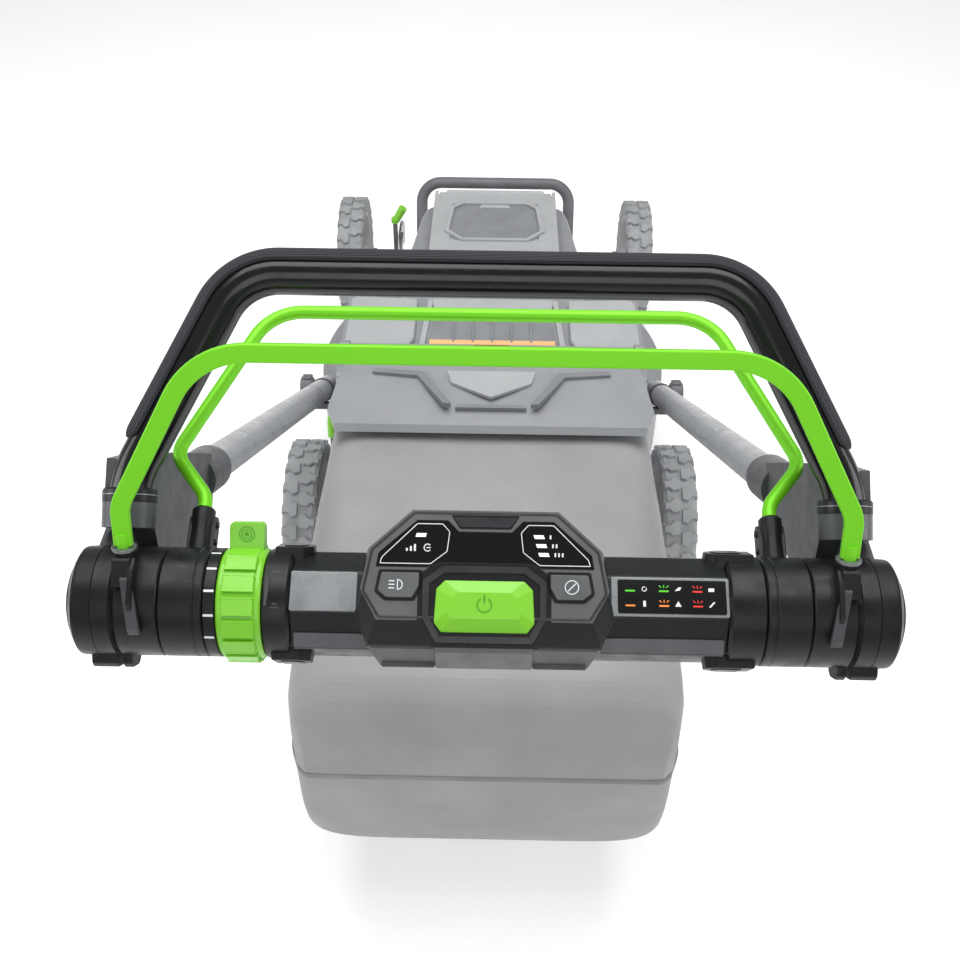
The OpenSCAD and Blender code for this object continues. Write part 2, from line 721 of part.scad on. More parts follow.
bail_foot = [1.5, 44];                   // Y and Z of the blade bail's sockets from the axis
bail_lean = 69.1;                        // rise of the blade bail's plane
bail_slope = 0.541;
bail_top_x = blade_leg_x - (blade_bail_reach - 30) * bail_slope;

module in_bail_plane() {
    at_console() translate([0, bail_foot[0], bail_foot[1]]) rotate([bail_lean, 0, 0]) children();
}

// Flat bar that runs the blade while it is held against the grip.
module blade_bail() {
    pts = [[-blade_leg_x, 10], [-blade_leg_x, 30], [-bail_top_x, blade_bail_reach],
        [bail_top_x, blade_bail_reach], [blade_leg_x, 30], [blade_leg_x, 10]];
    color(LIME) in_bail_plane() {
        bent(pts, [26, 52, 52, 26]) square([11.5, 5], center = true);
        both() translate([-blade_leg_x, -9.5, 0]) rotate([-90, 0, 0]) cylinder(r = 4.2, h = 22);
    }
}

// Rotating sleeve with the blade bail's socket and its rib.
module blade_collar() {
    color(BLACK) {
        at_console() difference() {
            union() {
                x_rod(-blade_col[1], -blade_col[0], barrel_r);
                intersection() {
                    x_rod(-blade_leg_x - 3.5, -blade_leg_x + 3.5, barrel_r + 5);
                    side_plate(-blade_col[1], -blade_col[0])
                        polygon([[0, 0], [0, 60], [-60, 60], [-60, -26]]);
                }
                translate([0, bail_foot[0], bail_foot[1]]) rotate([bail_lean, 0, 0])
                    translate([-blade_leg_x, -16, 0]) rotate([-90, 0, 0]) cylinder(r = 6.8, h = 18);
            }
            x_rod(-300, 0, beam_r + run);
            translate([0, bail_foot[0], bail_foot[1]]) rotate([bail_lean, 0, 0])
                translate([-blade_leg_x, -10, 0]) rotate([-90, 0, 0])
                    cylinder(r = 4.2 + run, h = 22);
        }
    }
}
module blade_collar_left() { blade_collar(); }
module blade_collar_right() { mirror([1, 0, 0]) blade_collar(); }

drive_tilt = 22;
drive_slope = 0.495;
drive_wide_x = drive_leg_x + 24;
drive_top_x = drive_wide_x - (drive_bail_reach - 108) * drive_slope;

// Round rod on the far side of the grip that engages the wheel drive.
module drive_bail() {
    color(LIME) at_console() rotate([drive_tilt, 0, 0])
        bent([[-drive_leg_x, 50.5], [-drive_leg_x, 73], [-drive_wide_x, 104],
            [-drive_top_x, drive_bail_reach], [drive_top_x, drive_bail_reach],
            [drive_wide_x, 104], [drive_leg_x, 73], [drive_leg_x, 50.5]],
            [18, 16, 36, 36, 16, 18]) circle(drive_bail_d / 2);
}

// Rotating sleeve with the drive bail's post.
module drive_collar() {
    color(BLACK) at_console() difference() {
        union() {
            x_rod(-drive_col[1], -drive_col[0], barrel_r);
            rotate([drive_tilt, 0, 0]) {
                translate([-drive_leg_x, 28, 0]) rotate([-90, 0, 0]) cylinder(r = 7.5, h = 36);
                translate([-drive_leg_x - 5, 28, -11]) cube([10, 32, 8]);
            }
        }
        x_rod(-300, 0, beam_r + run);
        rotate([drive_tilt, 0, 0]) translate([-drive_leg_x, 50, 0]) rotate([-90, 0, 0])
            cylinder(r = drive_bail_d / 2 + run, h = 22);
    }
}
module drive_collar_left() { drive_collar(); }
module drive_collar_right() { mirror([1, 0, 0]) drive_collar(); }

// ---- controls -------------------------------------------------------------------------------

// Ribbed speed ring with a thumb tab.
module speed_dial() {
    color(LIME) at_console() difference() {
        union() {
            x_rod(-dial_x[1] + 3, -dial_x[0] - 3, dial_d / 2 - 1);
            x_rod(-dial_x[1], -dial_x[0], dial_d / 2 - 3);
            for (a = [20:24:330]) rotate([a + 60, 0, 0])
                translate([-dial_x[1] + 5, -4, 30]) cube([dial_x[1] - dial_x[0] - 10, 8, dial_d / 2 - 30]);
            rotate([52, 0, 0]) translate([-dial_x[1] + 3, 30, -3])
                cube([dial_x[1] - dial_x[0] - 5, 22, 6]);
        }
        x_rod(-300, 0, 27 + run);
    }
}

module power_button() {
    color(LIME) at_face() translate([0, 0, box_front - 8]) {
        linear_extrude(9) power_outline(0);
        translate([0, 0, 8.9]) linear_extrude(4.5) power_outline(-2.5);
    }
}
module side_button() {
    color(DARK) at_face() translate([0, 0, box_front - 6]) linear_extrude(8.5) side_button_outline(0);
}
module lamp_button() { side_button(); }
module lock_button() { mirror([1, 0, 0]) side_button(); }

deck();
cowl();
motor_housing();
controller();
battery_pack();
front_lift_handle();
handle_mount_left();
handle_mount_right();
handle_pins();
front_quadrant();
rear_quadrant();
door_rod();
door_spring();
battery_lid();
rear_door();
grass_bag();
bag_frame();
blade();
spindle();
blade_bolt();
front_axle();
front_lever();
front_lever_grip();
rear_axle();
rear_lever();
rear_lever_grip();
drive_gearbox();
drive_shaft();
front_left_tyre();
front_left_rim();
front_right_tyre();
front_right_rim();
rear_left_tyre();
rear_left_rim();
rear_right_tyre();
rear_right_rim();
lower_tube_left();
lower_tube_right();
bracket_left();
bracket_right();
console_beam();
console_shell();
console_box();
display_panel();
indicator_panel();
end_cap_left();
end_cap_right();
grip_tube();
grip_pad();
blade_bail();
blade_collar_left();
blade_collar_right();
drive_bail();
drive_collar_left();
drive_collar_right();
speed_dial();
power_button();
lamp_button();
lock_button();
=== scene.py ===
"""Looks of a walk-behind battery lawn mower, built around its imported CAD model.

Each sub-assembly is a class that holds its sizes in millimetres and builds its own meshes.
Lengths are millimetres in the part's frame: +Z up, +Y forward, origin under the middle.
"""

import logging
import math
from dataclasses import dataclass, field
from enum import Enum
from typing import Callable, Iterable, Sequence

import bmesh
import bpy
from mathutils import Matrix, Vector, noise


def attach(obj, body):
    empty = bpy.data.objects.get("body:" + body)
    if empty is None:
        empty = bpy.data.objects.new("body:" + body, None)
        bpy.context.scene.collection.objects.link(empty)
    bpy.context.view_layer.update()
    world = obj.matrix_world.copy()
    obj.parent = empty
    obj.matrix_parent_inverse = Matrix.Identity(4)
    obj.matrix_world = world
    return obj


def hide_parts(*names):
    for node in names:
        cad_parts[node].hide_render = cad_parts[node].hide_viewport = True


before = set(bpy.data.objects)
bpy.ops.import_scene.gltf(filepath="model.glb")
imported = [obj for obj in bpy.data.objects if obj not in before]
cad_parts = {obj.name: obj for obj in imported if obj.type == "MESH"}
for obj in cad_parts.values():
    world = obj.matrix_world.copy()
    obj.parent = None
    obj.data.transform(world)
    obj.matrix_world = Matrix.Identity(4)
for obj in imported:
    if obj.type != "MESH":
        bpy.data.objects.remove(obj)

LOG = logging.getLogger("mower")

MM = 0.001
SHIFT_Y = 8.3586
CONSOLE_Y = -824.0
CONSOLE_Z = 861.0

CASING_TILT = 27.0
DISPLAY_TILT = 40.0
GRIP_TILT = 43.0
GRIP_LEG = 228.0
BLADE_FOOT = (1.5, 44.0)
BLADE_LEAN = 69.1
BLADE_LEG = 221.0
DRIVE_TILT = 22.0
DRIVE_LEG = 185.5
POST_TOP = 50.6

SKIN = 34.4
FACETS = 96
PRINT_RISE = 0.25
MERGE = 0.004
DEGENERATE = 0.002
CAD_MERGE = 0.02
FLAT_DEGREES = 0.6
ON_AXIS = 0.001
NOSE_SHARES = (0.38, 0.72, 0.92)
NOSE_STEP = 0.3
NOSE_PULL = 0.6
NOSE_LEAD = 0.05

COAT_ROUGHNESS = 0.12
MOTTLE_ENDS = (0.32, 0.68)
NOISE_SPAN = (0.3, 0.7)
WEAR_SCALE = 2.7
WAVE_SCALE = 6.28

Point = tuple[float, float]
Spot = tuple[float, float, float]
Outline = Sequence[Point]
Mesh = bmesh.types.BMesh
Tree = bpy.types.NodeTree
Socket = bpy.types.NodeSocket


class Side(Enum):
    """The operator's left or right, as the sign of X."""

    LEFT = -1
    RIGHT = 1

    @property
    def word(self) -> str:
        """The side's name as it stands in piece names."""
        return self.name.lower()


# ---- finishes -------------------------------------------------------------------------------


def srgb(code: str) -> tuple[float, float, float, float]:
    """Turns a hex colour into linear red, green, blue and alpha.

    Args:
        code: Six hex digits.

    Returns:
        The four linear values.
    """
    channels = [int(code[i : i + 2], 16) / 255 for i in (0, 2, 4)]
    linear = [c / 12.92 if c <= 0.04045 else ((c + 0.055) / 1.055) ** 2.4 for c in channels]
    return linear[0], linear[1], linear[2], 1.0


def set_inputs(node: bpy.types.Node, **values: object) -> None:
    """Sets a node's inputs; an underscore in a name stands for a space."""
    for name, value in values.items():
        node.inputs[name.replace("_", " ")].default_value = value


@dataclass(frozen=True)
class Finish:
    """A surface: its two mottled colours, its gloss, and the grain that its bump shows.

    Scales are features per metre, and depth is the bump's height in millimetres.
    """

    name: str
    slot: str
    light: str
    dark: str
    mottle: float = 28.0
    roughness: float = 0.45
    spread: float = 0.10
    metallic: float = 0.0
    grain: float = 1500.0
    depth: float = 0.05
    coat: float = 0.0
    specular: float = 0.5
    glow: float = 0.0

    def material(self) -> bpy.types.Material:
        """Makes the node material once and returns it after that."""
        found = bpy.data.materials.get(self.name)
        if found is not None:
            return found
        made = bpy.data.materials.new(self.name)
        made.use_nodes = True
        tree = made.node_tree
        tree.nodes.clear()
        output = tree.nodes.new("ShaderNodeOutputMaterial")
        shader = tree.nodes.new("ShaderNodeBsdfPrincipled")
        set_inputs(shader, Metallic=self.metallic, Coat_Weight=self.coat,
                   Coat_Roughness=COAT_ROUGHNESS, Specular_IOR_Level=self.specular)
        if self.glow:
            set_inputs(shader, Emission_Color=srgb(self.light), Emission_Strength=self.glow)
        tree.links.new(shader.outputs["BSDF"], output.inputs["Surface"])
        place = tree.nodes.new("ShaderNodeTexCoord").outputs["Object"]
        self.colour(tree, place, shader)
        self.gloss(tree, place, shader)
        height = self.height(tree, place)
        bump = tree.nodes.new("ShaderNodeBump")
        set_inputs(bump, Strength=1.0, Distance=self.depth * MM)
        tree.links.new(height, bump.inputs["Height"])
        tree.links.new(bump.outputs["Normal"], shader.inputs["Normal"])
        return made

    def noise(self, tree: Tree, place: Socket, scale: float, detail: float) -> Socket:
        """Adds a noise texture.

        Args:
            tree: The material's nodes.
            place: The coordinates that it reads.
            scale: Features per metre.
            detail: How many finer octaves it has.

        Returns:
            Its grey output.
        """
        texture = tree.nodes.new("ShaderNodeTexNoise")
        set_inputs(texture, Scale=scale, Detail=detail)
        tree.links.new(place, texture.inputs["Vector"])
        return texture.outputs["Fac"]

    def colour(self, tree: Tree, place: Socket, shader: bpy.types.Node) -> None:
        """Mottles the base colour between the dark and the light one."""
        ramp = tree.nodes.new("ShaderNodeValToRGB")
        ends = zip(ramp.color_ramp.elements, MOTTLE_ENDS, (self.dark, self.light))
        for element, position, code in ends:
            element.position = position
            element.color = srgb(code)
        tree.links.new(self.noise(tree, place, self.mottle, 5.0), ramp.inputs["Fac"])
        tree.links.new(ramp.outputs["Color"], shader.inputs["Base Color"])

    def gloss(self, tree: Tree, place: Socket, shader: bpy.types.Node) -> None:
        """Varies the roughness as handled surfaces do."""
        span = tree.nodes.new("ShaderNodeMapRange")
        set_inputs(span, From_Min=NOISE_SPAN[0], From_Max=NOISE_SPAN[1],
                   To_Min=max(0.02, self.roughness - self.spread),
                   To_Max=min(1.0, self.roughness + self.spread))
        worn = self.noise(tree, place, self.mottle * WEAR_SCALE, 4.0)
        tree.links.new(worn, span.inputs["Value"])
        tree.links.new(span.outputs["Result"], shader.inputs["Roughness"])

    def height(self, tree: Tree, place: Socket) -> Socket:
        """The grain that the bump reads."""
        return self.noise(tree, place, self.grain, 2.0)


@dataclass(frozen=True)
class Woven(Finish):
    """Coated cloth: warp and weft threads that cross on every side of the bag."""

    thread: float = 420.0

    def height(self, tree: Tree, place: Socket) -> Socket:
        """Adds the threads' three directions to a fine noise."""
        total = self.noise(tree, place, self.grain, 2.0)
        for direction in ("X", "Y", "Z"):
            wave = tree.nodes.new("ShaderNodeTexWave")
            wave.bands_direction = direction
            set_inputs(wave, Scale=self.thread / WAVE_SCALE, Distortion=0.6, Detail_Scale=2.0)
            tree.links.new(place, wave.inputs["Vector"])
            total = self.added(tree, total, wave.outputs["Fac"])
        return total

    def added(self, tree: Tree, one: Socket, two: Socket) -> Socket:
        """Adds two grey values and returns the sum."""
        node = tree.nodes.new("ShaderNodeMath")
        node.operation = "ADD"
        tree.links.new(one, node.inputs[0])
        tree.links.new(two, node.inputs[1])
        return node.outputs[0]


@dataclass(frozen=True)
class Brushed(Finish):
    """Metal drawn along X: the grain is stretched that way."""

    stretch: float = 0.04

    def height(self, tree: Tree, place: Socket) -> Socket:
        """Reads a noise squeezed along X, so that it makes long scratches."""
        mapping = tree.nodes.new("ShaderNodeMapping")
        set_inputs(mapping, Scale=(self.stretch, 1.0, 1.0))
        tree.links.new(place, mapping.inputs["Vector"])
        return self.noise(tree, mapping.outputs["Vector"], self.grain, 3.0)


@dataclass(frozen=True)
class Pebbled(Finish):
    """Moulded grain of small cells, as on a textured cover."""

    def height(self, tree: Tree, place: Socket) -> Socket:
        """Reads the distance to the nearest cell's middle."""
        texture = tree.nodes.new("ShaderNodeTexVoronoi")
        set_inputs(texture, Scale=self.grain)
        tree.links.new(place, texture.inputs["Vector"])
        return texture.outputs["Distance"]


BLACK = Pebbled("console_black", "black_plastic", "16171a", "101113", roughness=0.36, depth=0.05,
                grain=1300.0, specular=0.32)
CHARCOAL = Pebbled("charcoal_plastic", "dark_plastic", "47494c", "3b3d40", roughness=0.42,
                   depth=0.06, grain=1300.0, specular=0.35)
GRAPHITE = Brushed("graphite_trim", "dark_plastic", "8d9092", "7b7e81", roughness=0.3,
                   metallic=0.4, depth=0.03)
TRIM_DARK = Finish("face_grey", "dark_plastic", "636567", "57595b", roughness=0.38, grain=900.0,
                   depth=0.04)
WALL_GREY = Finish("wall_grey", "dark_plastic", "4a4c4f", "404245", roughness=0.36, grain=900.0,
                   depth=0.04)
RIM_DARK = Finish("rim_dark", "dark_plastic", "303235", "28292c", roughness=0.3, grain=900.0,
                  depth=0.03)
TRIM = Finish("trim_grey", "dark_plastic", "5c5e61", "515356", roughness=0.36, grain=900.0,
              depth=0.04)
TUBE_BLACK = Finish("gloss_black_paint", "black_paint", "101112", "0b0c0d", roughness=0.2,
                    spread=0.05, coat=0.1, grain=500.0, depth=0.03, specular=0.4)
RUBBER = Pebbled("grip_rubber", "grip_rubber", "3c3e40", "313335", roughness=0.6, grain=1700.0,
                 depth=0.1, specular=0.3)
GLASS = Finish("display_gloss", "gloss_black", "0b0c0d", "070809", roughness=0.14, spread=0.03,
               coat=0.15, grain=300.0, depth=0.01, specular=0.3)
LIME = Finish("lime_plastic", "lime_plastic", "9ef512", "92ea0a", roughness=0.4, spread=0.06,
              grain=1800.0, depth=0.05, specular=0.4)
LIME_DEEP = Finish("lime_deep", "lime_plastic", "4fa310", "45970d", roughness=0.45, depth=0.03)
LIME_PAINT = Finish("lime_paint", "lime_paint", "92f014", "86e40c", roughness=0.3, spread=0.05,
                    coat=0.2, grain=420.0, depth=0.04)
SHELL = Pebbled("cover_grey", "cover_plastic", "aaacae", "a4a6a8", roughness=0.42, grain=900.0,
                depth=0.08)
SHELL_DARK = Pebbled("cover_grey_deep", "cover_plastic", "86888b", "7c7e81", roughness=0.5,
                     grain=900.0, depth=0.08)
# The motor cover also wears this darker grey as painted shade: a shaded copy of the cover plastic
# that the lid wears as SHELL.
DOOR = Pebbled("door_grey", "cover_plastic", "919396", "8b8d90", roughness=0.38, grain=900.0,
               depth=0.08)
DOOR_DEEP = Pebbled("door_grey_deep", "cover_plastic", "818386", "7a7c7f", roughness=0.4,
                    grain=900.0, depth=0.08)
CAST = Finish("cast_grey", "deck_casting", "9a9c9f", "929497", roughness=0.5, metallic=0.25,
              grain=420.0, depth=0.22)
BRACKET = Finish("bracket_cast", "casting", "55575a", "484a4d", roughness=0.4, metallic=0.3,
                 grain=600.0, depth=0.15)
BRACKET_LIGHT = Finish("machined_ring", "casting", "8c8f92", "797c7f", roughness=0.3,
                       metallic=0.6, grain=700.0, depth=0.08)
CHARCOAL_LIGHT = Pebbled("faded_charcoal", "dark_plastic", "6f7174", "616366", roughness=0.5,
                         depth=0.08, grain=1100.0)
TUBE = Brushed("handle_tube_grey", "grey_tube", "a4a6a9", "9b9da0", roughness=0.33,
               metallic=0.35, depth=0.05)
STEEL = Brushed("bright_steel", "steel", "b9bbbe", "9ea0a4", roughness=0.3, metallic=0.85,
                depth=0.05)
TYRE = Pebbled("tyre_rubber", "tyre", "a6a8aa", "96989a", roughness=0.78, grain=700.0,
               depth=0.22, specular=0.3)
RIM = Finish("rim_plastic", "rim_plastic", "a8aaad", "999b9e", roughness=0.4, grain=900.0,
             depth=0.08)
FABRIC = Woven("bag_cloth", "bag_fabric", "9b9c9e", "8f9092", roughness=0.6, mottle=7.0,
               spread=0.1, grain=900.0, depth=0.12, specular=0.4)
PIPING = Woven("bag_piping", "bag_fabric", "8b8c8e", "7d7e80", roughness=0.7, mottle=20.0,
               grain=900.0, depth=0.12, specular=0.3)
PRINT = Finish("white_print", "gloss_black", "eef0f2", "dfe2e5", roughness=0.5, depth=0.01)
LAMP_WHITE = Finish("lamp_white", "gloss_black", "ffffff", "f4f6f8", roughness=0.4, glow=0.4,
                    depth=0.01)
LAMP_GREEN = Finish("lamp_green", "gloss_black", "4fc81a", "41b010", roughness=0.4, glow=0.3,
                    depth=0.01)
LAMP_RED = Finish("lamp_red", "gloss_black", "e02a22", "c8201a", roughness=0.4, glow=0.3,
                  depth=0.01)
LAMP_AMBER = Finish("lamp_amber", "gloss_black", "f0862a", "dd741c", roughness=0.4, glow=0.3,
                    depth=0.01)
PEACH = Finish("reflector_strip", "cover_plastic", "f0bd88", "e6b27c", roughness=0.4, depth=0.02)
FLOOR = Finish("studio_floor", "cover_plastic", "fbfbfb", "f8f8f8", roughness=0.9, glow=0.3,
               mottle=2.0, depth=0.0, specular=0.0)


# ---- shaping --------------------------------------------------------------------------------


def arc(radius: float, start: float, end: float, steps: int,
        centre: Point = (0.0, 0.0)) -> list[Point]:
    """Points on an arc.

    Args:
        radius: Its radius.
        start: First angle in degrees.
        end: Last angle in degrees.
        steps: How many chords it has.
        centre: Its centre.

    Returns:
        steps + 1 points.
    """
    angles = [math.radians(start + (end - start) * i / steps) for i in range(steps + 1)]
    return [(centre[0] + radius * math.cos(a), centre[1] + radius * math.sin(a)) for a in angles]


def rounded_bar(width: float, height: float, radius: float, steps: int = 3) -> list[Point]:
    """A rectangle about the origin with round corners, counter-clockwise."""
    x, y = width / 2 - radius, height / 2 - radius
    corners = [(x, y, 0), (-x, y, 90), (-x, -y, 180), (x, -y, 270)]
    return [p for cx, cy, a in corners for p in arc(radius, a, a + 90, steps, (cx, cy))]


def soften(bm: Mesh, offset: float, steps: int = 2, angle: float = 30.0,
           keep: Callable[[bmesh.types.BMEdge], bool] | None = None) -> None:
    """Bevels the edges sharper than an angle.

    Args:
        bm: The mesh.
        offset: Width of the bevel in millimetres.
        steps: Segments over the bevel.
        angle: Smallest angle between two faces, in degrees, that counts as an edge.
        keep: A test that an edge has to pass as well.
    """
    sharp = [e for e in bm.edges if len(e.link_faces) == 2
             and e.calc_face_angle(0.0) > math.radians(angle) and (keep is None or keep(e))]
    if sharp:
        bmesh.ops.bevel(bm, geom=sharp, offset=offset, offset_type="OFFSET", segments=steps,
                        profile=0.5, affect="EDGES", clamp_overlap=True, material=-1)


def closed(bm: Mesh) -> Mesh:
    """Merges doubles, points the faces outwards and returns the mesh."""
    bmesh.ops.remove_doubles(bm, verts=bm.verts[:], dist=MERGE)
    bmesh.ops.dissolve_degenerate(bm, dist=DEGENERATE, edges=bm.edges[:])
    bmesh.ops.recalc_face_normals(bm, faces=bm.faces[:])
    return bm


def verts_of(geom: Iterable[object]) -> list[bmesh.types.BMVert]:
    """The vertices in an operator's result."""
    return [v for v in geom if isinstance(v, bmesh.types.BMVert)]


def looped(bm: Mesh, verts: list[bmesh.types.BMVert]) -> list[bmesh.types.BMEdge]:
    """Joins vertices, each to the next and the last to the first."""
    return [bm.edges.new((a, b)) for a, b in zip(verts, verts[1:] + verts[:1])]


def round_corners(bm: Mesh, radius: float, steps: int) -> None:
    """Rounds every corner of a flat face."""
    bmesh.ops.bevel(bm, geom=bm.verts[:], offset=radius, offset_type="OFFSET", segments=steps,
                    profile=0.5, affect="VERTICES", clamp_overlap=True, material=-1)


def raised(bm: Mesh, height: float) -> list[bmesh.types.BMVert]:
    """Extrudes every face upwards, keeps the first ones and returns the new vertices."""
    lid = bmesh.ops.extrude_face_region(bm, geom=bm.faces[:], use_keep_orig=True)["geom"]
    top = verts_of(lid)
    bmesh.ops.translate(bm, vec=(0.0, 0.0, height), verts=top)
    return top


def spun(bm: Mesh, geom: list, centre: Sequence[float], axis: Sequence[float], angle: float,
         steps: int, merge: bool = False) -> list:
    """Turns vertices and edges about an axis, so that they leave faces behind.

    Args:
        bm: The mesh.
        geom: The vertices and edges.
        centre: A point on the axis.
        axis: Its direction.
        angle: How far they turn, in radians.
        steps: Facets over the turn.
        merge: Whether a whole turn closes on its start.

    Returns:
        The vertices and edges at the end of the turn.
    """
    return bmesh.ops.spin(bm, geom=geom, cent=centre, axis=axis, dvec=(0, 0, 0), angle=angle,
                          space=Matrix.Identity(4), steps=steps, use_merge=merge,
                          use_normal_flip=False, use_duplicate=False)["geom_last"]


def divided_cube(cuts: int) -> Mesh:
    """A cube from -1 to 1 whose edges are cut into equal parts."""
    bm = bmesh.new()
    bmesh.ops.create_cube(bm, size=2.0)
    bmesh.ops.subdivide_edges(bm, edges=bm.edges[:], cuts=cuts, use_grid_fill=True)
    return bm


def smoothed(bm: Mesh, verts: list[bmesh.types.BMVert], factor: float) -> None:
    """Eases vertices towards their neighbours."""
    bmesh.ops.smooth_vert(bm, verts=verts, factor=factor, use_axis_x=True, use_axis_y=True,
                          use_axis_z=True)


def cushion(u: float, w: float, power: float) -> float:
    """How far a point of a square's section moves in, so that the corners come out round.

    Args:
        u: Across, from -1 to 1.
        w: Up, from -1 to 1.
        power: How square it stays.

    Returns:
        The factor for both values.
    """
    reach = max(abs(u), abs(w))
    if reach == 0:
        return 1.0
    a, b = abs(u / reach), abs(w / reach)
    return 1 / (a**power + b**power) ** (1 / power)


def prism(outline: Outline, low: float, high: float, corner: float = 0.0, edge: float = 0.0,
          steps: int = 2, top_inset: float = 0.0) -> Mesh:
    """Raises an outline into a solid along Z.

    Args:
        outline: Its corners in X and Y.
        low: Height of its underside.
        high: Height of its top.
        corner: Radius of its upright corners.
        edge: Width of the bevel on its other edges.
        steps: Segments over that bevel.
        top_inset: How much smaller the top is than the underside, all round.

    Returns:
        The closed mesh.
    """
    bm = bmesh.new()
    bm.faces.new([bm.verts.new((x, y, low)) for x, y in outline])
    if corner:
        round_corners(bm, corner, 4)
    top = raised(bm, high - low)
    if top_inset:
        middle = sum((v.co for v in top), Vector()) / len(top)
        for v in top:
            reach = (v.co - middle).length
            v.co = middle + (v.co - middle) * (1 - top_inset / max(reach, 0.01))
    closed(bm)
    if edge:
        soften(bm, edge, steps)
    return bm


def turned(profile: Outline, steps: int = 64, edge: float = 0.0) -> Mesh:
    """Spins a closed profile about the X axis.

    Args:
        profile: Points of distance along X and radius.
        steps: Facets round the axis.
        edge: Width of the bevel on its rims.

    Returns:
        The closed mesh.
    """
    bm = bmesh.new()
    ring = [bm.verts.new((x, 0.0, r)) for x, r in profile]
    edges = [bm.edges.new((a, b)) for a, b in zip(ring, ring[1:] + ring[:1])
             if a.co.z > ON_AXIS or b.co.z > ON_AXIS]
    spun(bm, ring + edges, (0, 0, 0), (1, 0, 0), math.tau, steps, merge=True)
    closed(bm)
    if edge:
        soften(bm, edge, 2, 40.0)
    return bm


def two_ended(x0: float, x1: float, steps: Outline) -> list[Point]:
    """A profile to be turned that is the same at both ends.

    Args:
        x0: Where it starts.
        x1: Where it ends.
        steps: Pairs of distance from the nearer end and radius, from the bore outwards.

    Returns:
        The closed profile.
    """
    return [(x0 + a, r) for a, r in steps] + [(x1 - a, r) for a, r in list(steps)[::-1]]


def tube_of(x0: float, x1: float, outer: float, inner: float = 0.0, steps: int = 64,
            edge: float = 0.8) -> Mesh:
    """A sleeve or a disc along X with chamfered rims."""
    return turned(two_ended(x0, x1, ((0.0, inner), (0.0, outer))), steps, edge)


def lofted(rings: Sequence[Sequence[tuple[float, float, float]]], edge: float = 0.0,
           steps: int = 2, angle: float = 12.0) -> Mesh:
    """Skins rings of equal length, one above the other, and closes both ends.

    Args:
        rings: The rings' corners, from the lowest ring to the highest.
        edge: Width of the bevel on the edges.
        steps: Segments over the bevel.
        angle: Smallest angle that is bevelled.

    Returns:
        The closed mesh.
    """
    bm = bmesh.new()
    loops = []
    for ring in rings:
        loops.append(looped(bm, [bm.verts.new(co) for co in ring]))
    for low, high in zip(loops, loops[1:]):
        bmesh.ops.bridge_loops(bm, edges=low + high)
    for loop in (loops[0], loops[-1]):
        bmesh.ops.contextual_create(bm, geom=loop)
    closed(bm)
    if edge:
        soften(bm, edge, steps, angle)
    return bm


def both_sides(half: Outline) -> list[Point]:
    """Mirrors half an outline, given from the middle outwards, to the other sign of X."""
    return list(half)[::-1] + [(-x, y) for x, y in half]


def ring_of(bm: Mesh, geom: Iterable[object]) -> tuple[list, list]:
    """The new vertices of an extrusion and the edges between them."""
    verts = verts_of(geom)
    inside = set(verts)
    edges = [e for e in bm.edges if e.verts[0] in inside and e.verts[1] in inside]
    return verts, edges


def swept(section: Outline, path: Outline, radii: Sequence[float], steps: int = 12,
          nose: float = 0.0) -> Mesh:
    """Draws a section along a bent path in the XY plane, as a tube bender does.

    Args:
        section: Outline whose x points to the path's left and y out of the plane.
        path: Corners of the path.
        radii: Bend radius at each inner corner.
        steps: Facets over each bend.
        nose: Length of a rounded nose on both ends.

    Returns:
        The closed mesh.
    """
    points = [Vector((x, y, 0.0)) for x, y in path]
    ways = [(b - a).normalized() for a, b in zip(points, points[1:])]
    turns = [0.0] + [math.atan2(a.x * b.y - a.y * b.x, a.dot(b)) for a, b in zip(ways, ways[1:])]
    cuts = [0.0] + [r * math.tan(abs(t) / 2) for r, t in zip(radii, turns[1:])] + [0.0]
    up = Vector((0.0, 0.0, 1.0))
    left = up.cross(ways[0])
    bm = bmesh.new()
    verts = [bm.verts.new(points[0] + left * x + up * y) for x, y in section]
    edges = looped(bm, verts)
    first = (verts, edges)
    for i, way in enumerate(ways):
        if i:
            corner = points[i] - ways[i - 1] * cuts[i]
            side = 1.0 if turns[i] > 0 else -1.0
            centre = corner + up.cross(ways[i - 1]) * side * radii[i - 1]
            last = spun(bm, verts + edges, centre, up * side, abs(turns[i]), steps)
            verts, edges = ring_of(bm, last)
        length = (points[i + 1] - points[i]).length - cuts[i] - cuts[i + 1]
        grown = bmesh.ops.extrude_edge_only(bm, edges=edges)["geom"]
        verts, edges = ring_of(bm, grown)
        bmesh.ops.translate(bm, vec=way * length, verts=verts)
    for (verts, edges), way in ((first, -ways[0]), ((verts, edges), ways[-1])):
        if nose:
            for share in NOSE_SHARES:
                grown = bmesh.ops.extrude_edge_only(bm, edges=edges)["geom"]
                verts, edges = ring_of(bm, grown)
                middle = sum((v.co for v in verts), Vector()) / len(verts)
                bmesh.ops.translate(bm, vec=way * nose * NOSE_STEP, verts=verts)
                for v in verts:
                    v.co = v.co + (middle - v.co) * (1 - math.sqrt(1 - share**2)) * NOSE_PULL
                    v.co = v.co + way * nose * NOSE_LEAD
        bmesh.ops.contextual_create(bm, geom=edges)
    return closed(bm)


def dash(width: float, height: float, radius: float, low: float) -> Mesh:
    """A short printed bar with round corners."""
    return prism(rounded_bar(width, height, radius), low, low + PRINT_RISE)


def placed(name: str, data: bpy.types.ID) -> bpy.types.Object:
    """Makes an object of some data and links it to the scene."""
    made = bpy.data.objects.new(name, data)
    bpy.context.scene.collection.objects.link(made)
    return made


